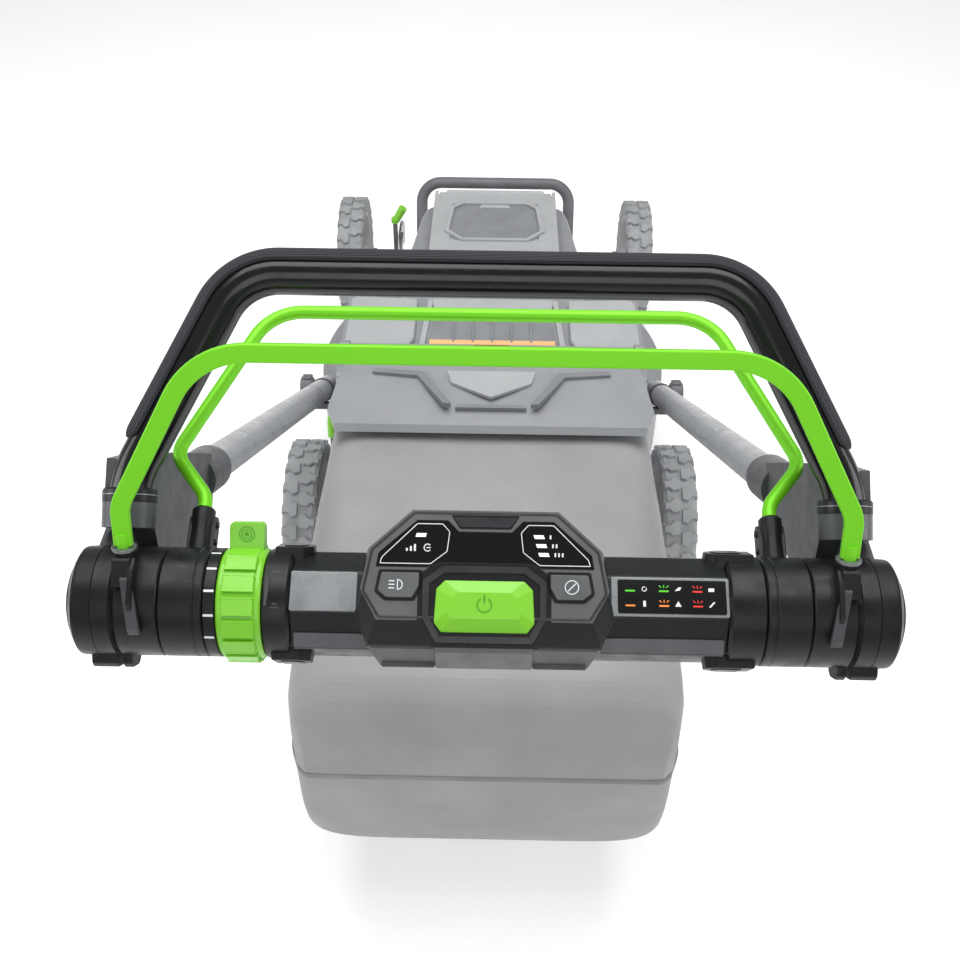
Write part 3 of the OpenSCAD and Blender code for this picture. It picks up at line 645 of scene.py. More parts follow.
class Form:
    """A mesh that grows shape by shape, in millimetres, and becomes one piece at the end."""

    def __init__(self, place: Matrix | None = None) -> None:
        """Starts empty; place carries every shape from a local frame to the part's."""
        self.bm = bmesh.new()
        self.place = place if place is not None else Matrix.Identity(4)

    def add(self, shape: Mesh, local: Matrix | None = None) -> "Form":
        """Moves a shape into place, joins it on and returns the form.

        Args:
            shape: The mesh to add, which is used up.
            local: Where it goes in the form's own frame.
        """
        matrix = self.place @ local if local is not None else self.place
        shape.transform(matrix)
        if matrix.determinant() < 0:
            bmesh.ops.reverse_faces(shape, faces=shape.faces[:])
        carrier = bpy.data.meshes.new("carrier")
        shape.to_mesh(carrier)
        shape.free()
        self.bm.from_mesh(carrier)
        bpy.data.meshes.remove(carrier)
        return self

    def piece(self, name: str, finish: Finish, body: str, *replaced: str,
              smooth: float = 35.0) -> bpy.types.Object:
        """Makes the object, dresses it and lets it ride on its body.

        Args:
            name: The piece's name.
            finish: What its surface is.
            body: The CAD body that carries it.
            replaced: CAD nodes that it stands for.
            smooth: Angle in degrees above which an edge stays sharp.

        Returns:
            The finished object.
        """
        bmesh.ops.scale(self.bm, vec=(MM, MM, MM), verts=self.bm.verts[:])
        mesh = bpy.data.meshes.new(name)
        self.bm.to_mesh(mesh)
        self.bm.free()
        mesh.shade_smooth()
        mesh.set_sharp_from_angle(angle=math.radians(smooth))
        made = placed(name, mesh)
        mesh.materials.append(finish.material())
        evened = made.modifiers.new("even_shading", "WEIGHTED_NORMAL")
        evened.keep_sharp = True
        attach(made, body)
        if replaced:
            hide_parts(*replaced)
        LOG.info("%s: %d faces on %s", name, len(mesh.polygons), body)
        return made


def refined(node: str, edge: float, steps: int = 2, angle: float = 35.0) -> Mesh:
    """Copies a CAD node's mesh in millimetres, merges it and breaks its edges.

    Args:
        node: The CAD node.
        edge: Width of the bevel.
        steps: Segments over the bevel.
        angle: Smallest angle that is bevelled.

    Returns:
        The mesh, in the part's frame.
    """
    bm = bmesh.new()
    bm.from_mesh(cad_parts[node].data)
    bmesh.ops.scale(bm, vec=(1 / MM, 1 / MM, 1 / MM), verts=bm.verts[:])
    bmesh.ops.remove_doubles(bm, verts=bm.verts[:], dist=CAD_MERGE)
    bmesh.ops.dissolve_limit(bm, angle_limit=math.radians(FLAT_DEGREES), verts=bm.verts[:],
                             edges=bm.edges[:], use_dissolve_boundaries=False)
    if edge:
        soften(bm, edge, steps, angle)
    return bm


def dressed(jobs: Iterable[tuple[str, str, Finish, float]]) -> None:
    """Refines CAD nodes into pieces.

    Args:
        jobs: Each one's node, the body that carries it, its finish and its bevel.
    """
    for node, body, finish, edge in jobs:
        Form().add(refined(node, edge, 2, 40.0)).piece(f"{node}_made", finish, body, node)


def spin_x(degrees: float) -> Matrix:
    """A turn about X."""
    return Matrix.Rotation(math.radians(degrees), 4, "X")


def spin_y(degrees: float) -> Matrix:
    """A turn about Y."""
    return Matrix.Rotation(math.radians(degrees), 4, "Y")


def spin_z(degrees: float) -> Matrix:
    """A turn about Z."""
    return Matrix.Rotation(math.radians(degrees), 4, "Z")


def at(x: float, y: float, z: float) -> Matrix:
    """A move."""
    return Matrix.Translation((x, y, z))


SIDEWAYS = Matrix(((0, 0, 1, 0), (1, 0, 0, 0), (0, 1, 0, 0), (0, 0, 0, 1)))
MIRROR_X = Matrix.Diagonal((-1, 1, 1, 1))
CONSOLE = at(0, SHIFT_Y + CONSOLE_Y, CONSOLE_Z)
CHASSIS = at(0, SHIFT_Y, 0)


def sided(side: Side) -> Matrix:
    """Leaves the left as drawn and mirrors it for the right."""
    return MIRROR_X if side is Side.RIGHT else Matrix.Identity(4)


def steady(points: Outline, value: float) -> float:
    """Reads a broken line at a value.

    Args:
        points: Pairs of value and result, in rising or falling order.
        value: Where to read it.

    Returns:
        The result in between.
    """
    line = sorted(points)
    for (a, low), (b, high) in zip(line, line[1:]):
        if a <= value <= b:
            return low + (high - low) * (value - a) / (b - a)
    return line[0][1] if value < line[0][0] else line[-1][1]


# ---- console --------------------------------------------------------------------------------


@dataclass
class Barrel:
    """The round parts of the console: end caps, sleeves, scale ring and clamp lugs."""

    beam: float = 22.1
    cap_seat: float = -248.06
    cap_reach: float = 263.0
    cap_dome: float = 60.0
    cap_radii: tuple[float, ...] = (34.0, 32.2, 29.4, 29.0, 25.2, 24.8, 20.0, 14.0, 8.0, 0.0)
    cap_groove: tuple[float, float] = (25.0, 29.2)
    cap_sink: float = 2.2
    ear: tuple[float, float] = (-248.0, -229.4)
    blade: tuple[float, float] = (-226.9, -200.0)
    drive: tuple[float, float] = (-199.6, -172.2)
    scale_ring: tuple[float, float] = (-171.8, -164.2)
    blade_leg: float = -BLADE_LEG
    drive_leg: float = -DRIVE_LEG
    fin_lean: float = 0.26
    moving_stop: tuple[float, float] = (-226.8, -220.6)
    fixed_stop: tuple[float, float] = (-246.5, -229.8)
    stop_turn: float = 138.0
    tick_turns: tuple[float, ...] = (-20.0, 5.0, 30.0, 55.0, 80.0)
    clamps: dict[Side, tuple[float, float]] = field(
        default_factory=lambda: {Side.LEFT: (-135.8, -119.6), Side.RIGHT: (-171.7, -149.5)})
    clamp_lugs: tuple[Point, ...] = ((-40.0, 21.0), (123.0, 24.0))

    def sleeve(self, x0: float, x1: float, first: Point, last: Point,
               groove: Outline = ()) -> Mesh:
        """A shell round the beam with chamfered ends.

        Args:
            x0: Where it starts.
            x1: Where it ends.
            first: Length and inner radius of the chamfer at the start.
            last: Length and inner radius of the chamfer at the end.
            groove: Points of a groove in between.

        Returns:
            The closed mesh.
        """
        return turned([(x0, self.beam), (x0, first[1]), (x0 + first[0], SKIN), *groove,
                       (x1 - last[0], SKIN), (x1, last[1]), (x1, self.beam)], FACETS)

    def cap(self, side: Side) -> None:
        """Domed cap with a recessed ring round its face and three bars across the ring."""
        dome = []
        for radius in self.cap_radii:
            sunk = self.cap_sink if self.cap_groove[0] < radius < self.cap_groove[1] else 0.0
            bulge = math.sqrt(self.cap_dome**2 - radius**2)
            dome.append((-(self.cap_reach - self.cap_dome + bulge) + sunk, radius))
        profile = [(self.cap_seat, 0.0), (self.cap_seat, SKIN), (-251.2, SKIN)] + dome
        form = Form(CONSOLE @ sided(side)).add(turned(profile, FACETS))
        for spoke in range(3):
            bar = prism(rounded_bar(5.5, 6.0, 1.2), -0.8, 2.4, edge=0.5)
            turn = spin_x(120 * spoke + 30) @ at(-252.6, 0, 27.2) @ spin_y(-66)
            form.add(bar, turn)
        form.piece(f"cap_{side.word}", BLACK, "handle", f"end_cap_{side.word}")

    def blade_sleeve(self, side: Side) -> None:
        """Sleeve of the blade bail with its socket, fin and screw, and the fixed ear by it."""
        place = CONSOLE @ sided(side)
        x0, x1 = self.blade
        form = Form(place)
        form.add(self.sleeve(x0, x1, (1.0, 33.2), (1.0, 33.4)))
        web = [(-12, 30), (9, 30), (12, 41), (6, 45), (-8, 46), (-20, 34)]
        form.add(prism(web, -5.4, 5.4, corner=1.5, edge=1.0), at(self.blade_leg, 0, 0) @ SIDEWAYS)
        spine = [(-4, 30), (-26, 22), (-34, 8), (-30, 30), (-14, 42), (-4, 44)]
        form.add(prism(spine, -1.6, 1.6, edge=0.6), at(self.blade_leg + 6.4, 0, 0) @ SIDEWAYS)
        form.add(self.stop_lug(*self.moving_stop))
        socket = at(self.blade_leg, *BLADE_FOOT) @ spin_x(BLADE_LEAN) @ spin_z(90)
        form.add(tube_of(-14, 2.2, 6.9, 0.0, 40, 0.9), socket)
        form.piece(f"blade_sleeve_{side.word}", BLACK, "blade_bail_set",
                   f"blade_collar_{side.word}")
        fin = [(-13, 30), (-24, 22), (-33.4, 7.5), (-38.6, 12.6), (-38.2, 18.5), (-17, 38.5),
               (-13, 38.5)]
        leaning = Matrix.Identity(4)
        leaning[0][1] = -self.fin_lean
        blade = Form(place).add(prism(fin, -3.6, 3.6, edge=0.9),
                                at(self.blade_leg - 1.0, 0, 0) @ leaning @ SIDEWAYS)
        blade.piece(f"blade_fin_{side.word}", CHARCOAL, "blade_bail_set")
        ear = Form(place).add(self.stop_lug(*self.fixed_stop))
        ear.add(turned([(self.ear[0], 34.0), (self.ear[0], 34.6), (-240.6, 34.9), (-240.2, 34.5),
                        (-239.8, 34.9), (self.ear[1], 34.7), (self.ear[1], 34.0)], FACETS))
        ear.piece(f"ear_lug_{side.word}", BLACK, "handle")
        ring = Form(place).add(tube_of(1.2, 3.4, 7.6, 4.0, 40, 0.5), socket)
        ring.piece(f"blade_socket_ring_{side.word}", BRACKET_LIGHT, "blade_bail_set")
        screw = Form(place).add(self.screw(3.0), at(self.blade_leg - 4.4, 1, 41))
        screw.piece(f"blade_socket_screw_{side.word}", STEEL, "blade_bail_set")

    def stop_lug(self, x0: float, x1: float) -> Mesh:
        """Half of the stop under the barrel, between two distances."""
        block = prism([(-11, 26), (11, 26), (9.5, 38.6), (6, 41.6), (-6, 41.6), (-9.5, 38.6)],
                      x0, x1, corner=1.0, edge=1.0)
        block.transform(spin_x(self.stop_turn) @ SIDEWAYS)
        return block

    def screw(self, radius: float) -> Mesh:
        """Pan-head screw that looks along −X, with a six-sided pocket."""
        return turned([(0.6, 0.0), (0.6, radius), (-0.8, radius), (-1.5, radius * 0.72),
                       (-1.5, radius * 0.45), (-0.5, radius * 0.4), (-0.5, 0.0)], 24)

    def drive_sleeve(self, side: Side) -> None:
        """Sleeve of the drive bail: barrel, post, two side webs and two screws."""
        place = CONSOLE @ sided(side)
        x0, x1 = self.drive
        form = Form(place)
        groove = [(x1 - 6.5, SKIN), (x1 - 6.0, 33.9), (x1 - 5.4, 33.9), (x1 - 5.0, SKIN)]
        form.add(self.sleeve(x0, x1, (1.0, 33.4), (1.0, 33.4), groove))
        tilt = spin_x(DRIVE_TILT)
        post = tilt @ at(self.drive_leg, 0, 0) @ spin_z(90)
        form.add(turned([(28, 0), (28, 7.4), (40, 6.8), (52, 6.8), (54, 7.6), (62.6, 7.6),
                         (64, 6.4), (64, 4.9), (58, 4.9), (58, 0)], 40), post)
        web = [(28, -12), (59, -11), (61, -6), (58, 2), (28, 2)]
        for step, half in ((-6.0, 2.6), (6.4, 2.2)):
            form.add(prism(web, -half, half, edge=0.8),
                     tilt @ at(self.drive_leg + step, 0, 0) @ SIDEWAYS)
        form.piece(f"drive_sleeve_{side.word}", BLACK, "drive_bail_set",
                   f"drive_collar_{side.word}")
        screws = Form(place)
        for distance in (42, 54):
            screws.add(self.screw(2.4), tilt @ at(self.drive_leg + 8.4, distance, -4) @ spin_z(180))
        screws.piece(f"drive_post_screws_{side.word}", TUBE_BLACK, "drive_bail_set")

    def scale(self) -> None:
        """Ring beside the dial with five white marks, and its wide neck under the dial."""
        x0, x1 = self.scale_ring
        ring = Form(CONSOLE)
        ring.add(self.sleeve(x0, x1, (0.8, 33.6), (0.6, 33.8)))
        ring.add(tube_of(x1 - 0.2, -135.0, 26.7, self.beam, 64, 0.3))
        ring.piece("scale_ring", BLACK, "handle")
        marks = Form(CONSOLE)
        for turn in self.tick_turns:
            tick = prism(rounded_bar(6.2, 1.5, 0.4), 34.2, 34.62)
            marks.add(tick, spin_x(turn) @ at((x0 + x1) / 2, 0, 0))
        marks.piece("scale_marks", PRINT, "handle")

    def lugs(self, side: Side) -> None:
        """Clamp shells where the casing's middle is bolted to its round ends."""
        place = CONSOLE @ sided(side)
        outer, inner = self.clamps[side]
        form = Form(place)
        form.add(self.sleeve(outer, inner + 0.4, (1.0, 33.4), (1.8, 32.4)))
        for turn, width in self.clamp_lugs:
            lug = [(outer + 3, -width / 2), (inner + 6, -width / 2), (inner + 13, -width / 4),
                   (inner + 13, width / 4), (inner + 6, width / 2), (outer + 3, width / 2)]
            form.add(prism(lug, 27, 37.0, corner=1.0, edge=1.4, top_inset=1.5), spin_x(turn))
            pad = [(x * 0.55 + inner * 0.45 + 0.4, y * 0.6) for x, y in lug]
            form.add(prism(pad, 36.5, 37.7, corner=0.8, edge=0.5), spin_x(turn))
        form.piece(f"casing_end_{side.word}", BLACK, "handle")

    def build(self) -> None:
        """Builds both ends."""
        for side in Side:
            self.cap(side)
            self.blade_sleeve(side)
            self.drive_sleeve(side)
            self.lugs(side)
        self.scale()


@dataclass
class SpeedDial:
    """Lime thumb ring with raised pads and a tab."""

    x0: float = -163.8
    x1: float = -136.5
    radius: float = 37.5
    bore: float = 27.1
    pads: int = 16
    tab_angle: float = 52.0
    tab_gap: float = 16.0

    def build(self) -> None:
        """Turns the ring, raises the pads and sets the tab on it."""
        form = Form(CONSOLE)
        x0, x1 = self.x0, self.x1
        steps = ((0, self.bore), (0, 33.4), (1.4, 34.6), (4, 34.6), (4.6, 35.6))
        form.add(turned(two_ended(x0, x1, steps), 120))
        for i in range(self.pads):
            angle = i * 360 / self.pads
            if abs((angle + 90 - self.tab_angle + 180) % 360 - 180) < self.tab_gap:
                continue
            pad = prism(rounded_bar(x1 - x0 - 6.5, 10.4, 1.4), 34.4, self.radius - 0.3, edge=0.6,
                        top_inset=0.9)
            form.add(pad, at((x0 + x1) / 2, 0, 0) @ spin_x(angle))
            for lip in (-5.0, 5.0):
                bar = prism(rounded_bar(x1 - x0 - 7.5, 1.5, 0.5), 36.0, self.radius - 0.02,
                            edge=0.3)
                form.add(bar, at((x0 + x1) / 2, 0, 0) @ spin_x(angle) @ at(0, lip, -0.15))
        tab = [(x0 + 2.6, 31), (x0 + 2.6, 49.5), (x0 + 4.6, 51.8), (x1 - 4.4, 51.8),
               (x1 - 2.4, 49.5), (x1 - 2.4, 31)]
        form.add(prism(tab, -4.4, 4.4, corner=1.0, edge=1.3), spin_x(self.tab_angle))
        form.piece("speed_ring", LIME, "dial", "speed_dial")
        mark = Form(CONSOLE)
        spot = spin_x(self.tab_angle) @ at((x0 + x1) / 2, 44.4, 0)
        for outer, inner in ((5.0, 4.4), (3.3, 2.8)):
            mark.add(framed_arc(outer, inner, 0, 360, 4.3, 4.6), spot)
        for turn in (20, 80, 140):
            mark.add(prism(rounded_bar(3.6, 0.6, 0.2), 4.3, 4.6), spot @ spin_z(turn))
        mark.piece("speed_ring_mark", LIME_DEEP, "dial")


@dataclass
class Casing:
    """Eight-sided middle of the console with its trim plates and lower band."""

    circle: float = 34.0
    left: float = -120.0
    right: float = 149.8
    half_flat: float = 22.5

    def place(self) -> Matrix:
        """The frame whose +Z stands on the display side's flat."""
        return CONSOLE @ spin_x(CASING_TILT)

    def octagon(self, radius: float) -> list[Point]:
        """Corners of the section, with a flat upwards."""
        angles = [math.radians(self.half_flat + 45 * i) for i in range(8)]
        return [(radius * math.cos(a), radius * math.sin(a)) for a in angles]

    def build(self) -> None:
        """Builds the casing, its trim and its marks."""
        form = Form(self.place())
        form.add(prism(self.octagon(self.circle - 0.4), self.left, self.right, edge=2.2, steps=3),
                 SIDEWAYS)
        form.piece("casing", BLACK, "handle", "console_shell")
        flat = self.circle * math.cos(math.radians(self.half_flat)) - 0.4
        trim = Form(self.place())
        for x0, x1, half in ((-119, -78, 12.4), (77, 149, 12.3)):
            plate = [(x0, -half), (x1, -half), (x1, half), (x0, half)]
            trim.add(prism(plate, flat - 0.6, flat + 0.9, corner=1.2, edge=0.5))
        trim.piece("casing_plates", GRAPHITE, "handle")
        band = Form(self.place() @ spin_x(45))
        for x0, x1 in ((-117, -62), (62, 147)):
            strip = [(x0, -12.2), (x1, -12.2), (x1, -2.0), (x0, -2.0)]
            band.add(prism(strip, flat - 0.8, flat + 1.2, corner=1.0, edge=0.6))
            low = [(x0, -12.6), (x1, -12.6), (x1, -13.8), (x0, -13.8)]
            band.add(prism(low, flat - 2.4, flat + 0.4, edge=0.4))
        band.piece("casing_lower_band", TRIM, "handle")
        marks = Form(self.place())
        wedge = [(-134.0, -9), (-132.4, -9), (-131.2, 9), (-134.0, 9)]
        marks.add(prism(wedge, 34.0, 34.75), spin_x(2))
        for y, rings in ((11, 2), (-11, 1)):
            for i in range(rings):
                marks.add(prism(rounded_bar(5.0 - 1.8 * i, 0.9, 0.3), 34.1, 34.7),
                          spin_x(y * 1.7) @ at(-127.5, 2.2 * i, 0))
        marks.piece("speed_marks", CHARCOAL, "handle")


@dataclass
class Indicators:
    """Dark lens with six small lamps and a plain sign beside each."""

    seat: float = 31.9
    columns: tuple[float, float, float] = (88.5, 109.0, 129.5)
    rows: tuple[float, float] = (5.0, -4.2)

    def build(self) -> None:
        """Sets the lens on its plate, and the lamps and signs on the lens."""
        place = CONSOLE @ spin_x(CASING_TILT)
        lens = Form(place)
        shape = [(81.0, -10.6), (147.0, -10.6), (147.0, 10.6), (81.0, 10.6)]
        lens.add(prism(shape, self.seat - 1.2, self.seat + 0.75, corner=1.2, edge=0.35))
        lens.piece("indicator_lens", GLASS, "handle", "indicator_panel")
        top = self.seat + 0.7
        colours = ((LAMP_GREEN, LAMP_GREEN, LAMP_RED), (LAMP_AMBER, LAMP_AMBER, LAMP_RED))
        groups: dict[str, tuple[Finish, Form]] = {}
        for row, line in zip(self.rows, colours):
            for column, finish in zip(self.columns, line):
                found = groups.setdefault(finish.name, (finish, Form(place)))[1]
                found.add(dash(6.0, 1.0, 0.3, top),
                          at(column, row - 1.6, 0))
                rays = () if column == self.columns[0] else ((-2.2, 140), (0.0, 90), (2.2, 40))
                for step, turn in rays:
                    found.add(dash(1.9, 0.55, 0.2, top),
                              at(column + step, row + 1.3, 0) @ spin_z(turn))
        for finish, form in groups.values():
            form.piece(f"indicator_{finish.name}", finish, "handle")
        signs = Form(place)
        for row in self.rows:
            for column in self.columns:
                spot = at(column + 8.6, row - 0.4, 0)
                signs.add(self.sign(row, column, top), spot)
        signs.piece("indicator_signs", PRINT, "handle")

    def sign(self, row: float, column: float, top: float) -> Mesh:
        """One of six small plain signs: ring, leaf, cell, bar, triangle or tool."""
        kind = (self.rows.index(row), self.columns.index(column))
        outlines: dict[tuple[int, int], list[Point]] = {
            (0, 0): arc(1.6, 60, 390, 12) + arc(1.1, 390, 60, 12),
            (0, 1): [(-2, -1), (0.4, 1.4), (2.2, 1.4), (1.2, -0.6)],
            (0, 2): [(-2, -1.1), (1.6, -1.1), (1.6, 1.1), (-2, 1.1)],
            (1, 0): [(-0.8, -1.8), (0.8, -1.8), (0.8, 1.8), (-0.8, 1.8)],
            (1, 1): [(-2, -1.5), (2, -1.5), (0, 1.9)],
            (1, 2): [(-1.9, -1.3), (-1.1, -1.9), (1.9, 1.3), (1.1, 1.9)],
        }
        return prism(outlines[kind], top, top + 0.22)


def framed(outline: Outline, width: float, low: float, high: float,
           corner: float = 0.0) -> Mesh:
    """A thin raised line round an outline.

    Args:
        outline: Corners of the line's outer edge.
        width: Width of the line.
        low: Height of its underside.
        high: Height of its top.
        corner: Radius of its corners.

    Returns:
        The closed mesh.
    """
    bm = bmesh.new()
    face = bm.faces.new([bm.verts.new((x, y, low)) for x, y in outline])
    if corner:
        round_corners(bm, corner, 3)
        face = bm.faces[:][0]
    bmesh.ops.inset_region(bm, faces=[face], thickness=width, use_even_offset=True,
                           use_boundary=True)
    bmesh.ops.delete(bm, geom=[face], context="FACES_ONLY")
    bmesh.ops.recalc_face_normals(bm, faces=bm.faces[:])
    raised(bm, high - low)
    return closed(bm)


@dataclass
class DisplayBox:
    """Eight-sided housing with the display, the start button and two side buttons."""

    outer: tuple[Point, ...] = ((44, 57), (72, 33), (79, -5), (63.5, -37))
    middle: tuple[Point, ...] = ((44.5, 57), (72, 33), (78.5, -5), (70.5, -25))
    plateau: tuple[Point, ...] = ((42.4, 55), (68, 32), (73, 7), (63, -8))
    panel: tuple[Point, ...] = ((16, 43.8), (22.5, 50.5), (41, 50.5), (64, 30.5), (65.5, 22),
                                (34.5, 22), (27, 24.8))
    frame_outer: tuple[Point, ...] = ((25, 23.1), (37, 14.3), (37, -7.8), (29, -22.5))
    key: tuple[Point, ...] = ((21.8, 12.6), (27.0, 7.4), (28.2, -9), (23.6, -14.6))
    key_top: tuple[Point, ...] = ((15.4, 7.4), (18.8, 3.6), (22.4, -4.6), (20.2, -8.0))
    lamp: tuple[Point, ...] = ((-2.6, -1.1), (3.4, -1.1), (2.6, 1.1), (-3.4, 1.1))
    front: float = 46.0
    buttons: dict[Side, str] = field(
        default_factory=lambda: {Side.LEFT: "lamp", Side.RIGHT: "lock"})

    def ring(self, half: Outline, z: float, by: float = 0.0) -> list[Spot]:
        """A closed ring at a height from half an outline, grown by a distance in X and Y."""
        return [(x + math.copysign(by, x), y + math.copysign(by, y), z)
                for x, y in both_sides(half)]

    def place(self) -> Matrix:
        """The display's frame: x right, y up its face, z out of it."""
        return CONSOLE @ spin_x(DISPLAY_TILT)

    def form(self) -> Form:
        """An empty form in the display's frame."""
        return Form(self.place())

    def row(self, x: float, i: int) -> Matrix:
        """Where something at a distance goes in one of the three slanted rows of lamps."""
        return at(x + 1.5 * i, 41.2 - 5.3 * i, 0)

    def housing(self) -> None:
        """Housing in three steps, its lighter lower walls and the block under the start button."""
        front = self.front
        form = self.form()
        form.add(lofted([self.ring(self.outer, 0), self.ring(self.outer, 14),
                         self.ring(self.middle, 34), self.ring(self.plateau, front - 0.4)], 1.1, 3))
        form.piece("display_housing", BLACK, "handle", "console_box")
        walls = self.form()
        low = [(79, -5), (63.5, -37), (-63.5, -37), (-79, -5)]
        high = [(78.5, -5), (70.5, -25), (-70.5, -25), (-78.5, -5)]
        bm = bmesh.new()
        lower = [bm.verts.new((x, y, 13.0)) for x, y in low]
        upper = [bm.verts.new((x, y, 32.6)) for x, y in high]
        for i in range(3):
            bm.faces.new((lower[i], lower[i + 1], upper[i + 1], upper[i]))
        bmesh.ops.recalc_face_normals(bm, faces=bm.faces[:])
        if sum(f.normal.y for f in bm.faces) > 0:
            bmesh.ops.reverse_faces(bm, faces=bm.faces[:])
        bmesh.ops.solidify(bm, geom=bm.faces[:], thickness=-0.7)
        soften(bm, 0.3, 1, 50.0)
        walls.add(bm)
        block = [(-16.4, front - 1), (-22.5, front - 1), (-28.5, 38), (-39, 16.5), (-33, 11),
                 (-16.4, 11)]
        walls.add(prism(block, -29.5, 29.5, corner=1.2, edge=0.9), SIDEWAYS)
        for x0, x1 in ((-63.0, -30.4), (30.4, 63.0)):
            for y, z in ((-38.0, 16.4), (-38.4, 13.6)):
                walls.add(prism([(y, z - 0.8), (y, z + 0.8), (y + 3, z + 0.8), (y + 3, z - 0.8)],
                                x0, x1, edge=0.3, steps=1), SIDEWAYS)
        walls.piece("display_walls", WALL_GREY, "handle")

    def frames(self) -> None:
        """Grey face plate, the frame round the start button, the badge and the key wells."""
        front = self.front
        form = self.form()
        form.add(lofted([self.ring(self.plateau, front - 2, -1.6),
                         self.ring(self.plateau, front + 0.1, -1.6)], 0.5))
        form.piece("display_face", TRIM_DARK, "handle")
        rims = self.form()
        for half, z0, z1, width in ((self.frame_outer, -3.0, 1.9, 3.9),
                                    (self.plateau, -2.0, 0.7, 1.5)):
            grow = -0.6 if half is self.plateau else 0.0
            bm = framed([(x, y) for x, y, _ in self.ring(half, 0, grow)], width, front + z0,
                        front + z1, 1.4)
            soften(bm, 0.5, 2, 40.0)
            rims.add(bm)
        badge = [(19.2, 52.4), (14.8, 46.6), (-14.8, 46.6), (-19.2, 52.4)]
        rims.add(prism(badge, front - 1.0, front + 1.0, corner=0.8, edge=0.5))
        rims.piece("display_rims", RIM_DARK, "handle")
        wells = self.form()
        wells.add(lofted([self.ring(self.frame_outer, front - 1, -3.0),
                          self.ring(self.frame_outer, front + 0.35, -3.0)]))
        for side in Side:
            well = [(-63.4, 20.4), (-37.2, 20.4), (-37.2, 10.2), (-42, 1.8), (-60, 1.8), (-66, 7)]
            wells.add(prism(well, front - 1, front + 0.35, corner=1.2), sided(side))
        wells.add(prism([(-20.6, 53.6), (-15.4, 45.4), (15.4, 45.4), (20.6, 53.6)], front - 1,
                        front + 0.3, corner=0.8))
        wells.piece("display_wells", BLACK, "handle")

    def display(self) -> None:
        """Glossy plate with its printed outlines, lamps and plain signs."""
        front = self.front
        plate = self.form()
        plate.add(lofted([self.ring(self.panel, front - 1.5), self.ring(self.panel, front + 0.45)],
                         0.3))
        plate.piece("display_plate", GLASS, "handle", "display_panel")
        top = front + 0.4
        lines = self.form()
        for side in Side:
            area = [(-41, 48.4), (-62, 28), (-63.4, 23.9), (-32.6, 23.9), (-22.6, 31.6),
                    (-21.2, 43.6), (-25.6, 48.4)]
            lines.add(framed(area, 0.5, top, top + PRINT_RISE, 0.8), sided(side))
        lines.piece("display_lines", PRINT, "handle")
        lamps = self.form()
        lamps.add(prism([(-x, y) for x, y in self.lamp], top, top + 0.35), at(-38.6, 41.3, 0))
        for i in range(3):
            lamps.add(prism(self.lamp, top, top + 0.35), self.row(32.2, i))
        lamps.piece("display_lamps", LAMP_WHITE, "handle")
        signs = self.form()
        for i in range(3):
            for n in range(i + 1):
                signs.add(dash(1.0, 2.4, 0.3, top), self.row(39.0 + 2.2 * n, i))
        for x, height in ((-47.0, 1.8), (-44.6, 3.0), (-42.2, 4.2)):
            signs.add(dash(1.2, height, 0.3, top),
                      at(x, 31.6 + height / 2, 0))
        signs.add(framed_arc(2.4, 1.8, 40, 320, top, top + PRINT_RISE), at(-34.6, 33.8, 0))
        signs.add(dash(2.6, 0.6, 0.2, top), at(-34.0, 33.8, 0))
        signs.piece("display_signs", PRINT, "handle")

    def start_button(self) -> None:
        """Lime button with broad facets and the power sign on its top."""
        front = self.front
        form = self.form()
        form.add(lofted([self.ring(self.key, front - 7.8), self.ring(self.key, front - 0.6),
                         self.ring(self.key, front + 0.6, -1.2),
                         self.ring(self.key, front + 1.0, -2.0),
                         self.ring(self.key_top, front + 5.2)], 0.45, 2, 8.0))
        form.piece("start_button", LIME, "power_key", "power_button", smooth=14.0)
        sign = self.form()
        high = front + 5.1
        sign.add(framed_arc(4.6, 3.9, 122, 418, high, high + 0.3))
        sign.add(prism(rounded_bar(0.9, 5.0, 0.4), high, high + 0.3), at(0, 3.6, 0))
        sign.piece("start_sign", LIME_DEEP, "power_key")

    def side_buttons(self) -> None:
        """Two dark buttons: a headlamp sign on the left, a barred circle on the right."""
        for side, name in self.buttons.items():
            place = self.place() @ sided(side)
            body = f"{name}_key"
            form = Form(place)
            key = [(-62.4, 19.2), (-38.6, 19.2), (-38.6, 10.6), (-42.8, 3.3), (-59.4, 3.3),
                   (-64.6, 7.8)]
            form.add(prism(key, self.front - 6, self.front + 2.3, corner=1.0, edge=0.9,
                           top_inset=0.8))
            form.piece(f"{name}_key_top", TRIM_DARK, body, f"{name}_button")
            top = self.front + 2.25
            sign = self.form()
            centre = at(side.value * 52.0, 11.4, 0)
            if side is Side.LEFT:
                sign.add(framed_arc(3.2, 2.6, -90, 90, top, top + PRINT_RISE), centre)
                sign.add(dash(0.6, 6.4, 0.2, top), centre)
                for y in (-2.1, 0.0, 2.1):
                    sign.add(dash(3.6, 0.7, 0.3, top),
                             centre @ at(-3.6, y, 0))
            else:
                sign.add(framed_arc(4.3, 3.7, 0, 360, top, top + PRINT_RISE), centre)
                sign.add(dash(6.6, 0.7, 0.3, top), centre @ spin_z(45))
            sign.piece(f"{name}_key_sign", PRINT, body)

    def build(self) -> None:
        """Builds the box and everything on it."""
        self.housing()
        self.frames()
        self.display()
        self.start_button()
        self.side_buttons()


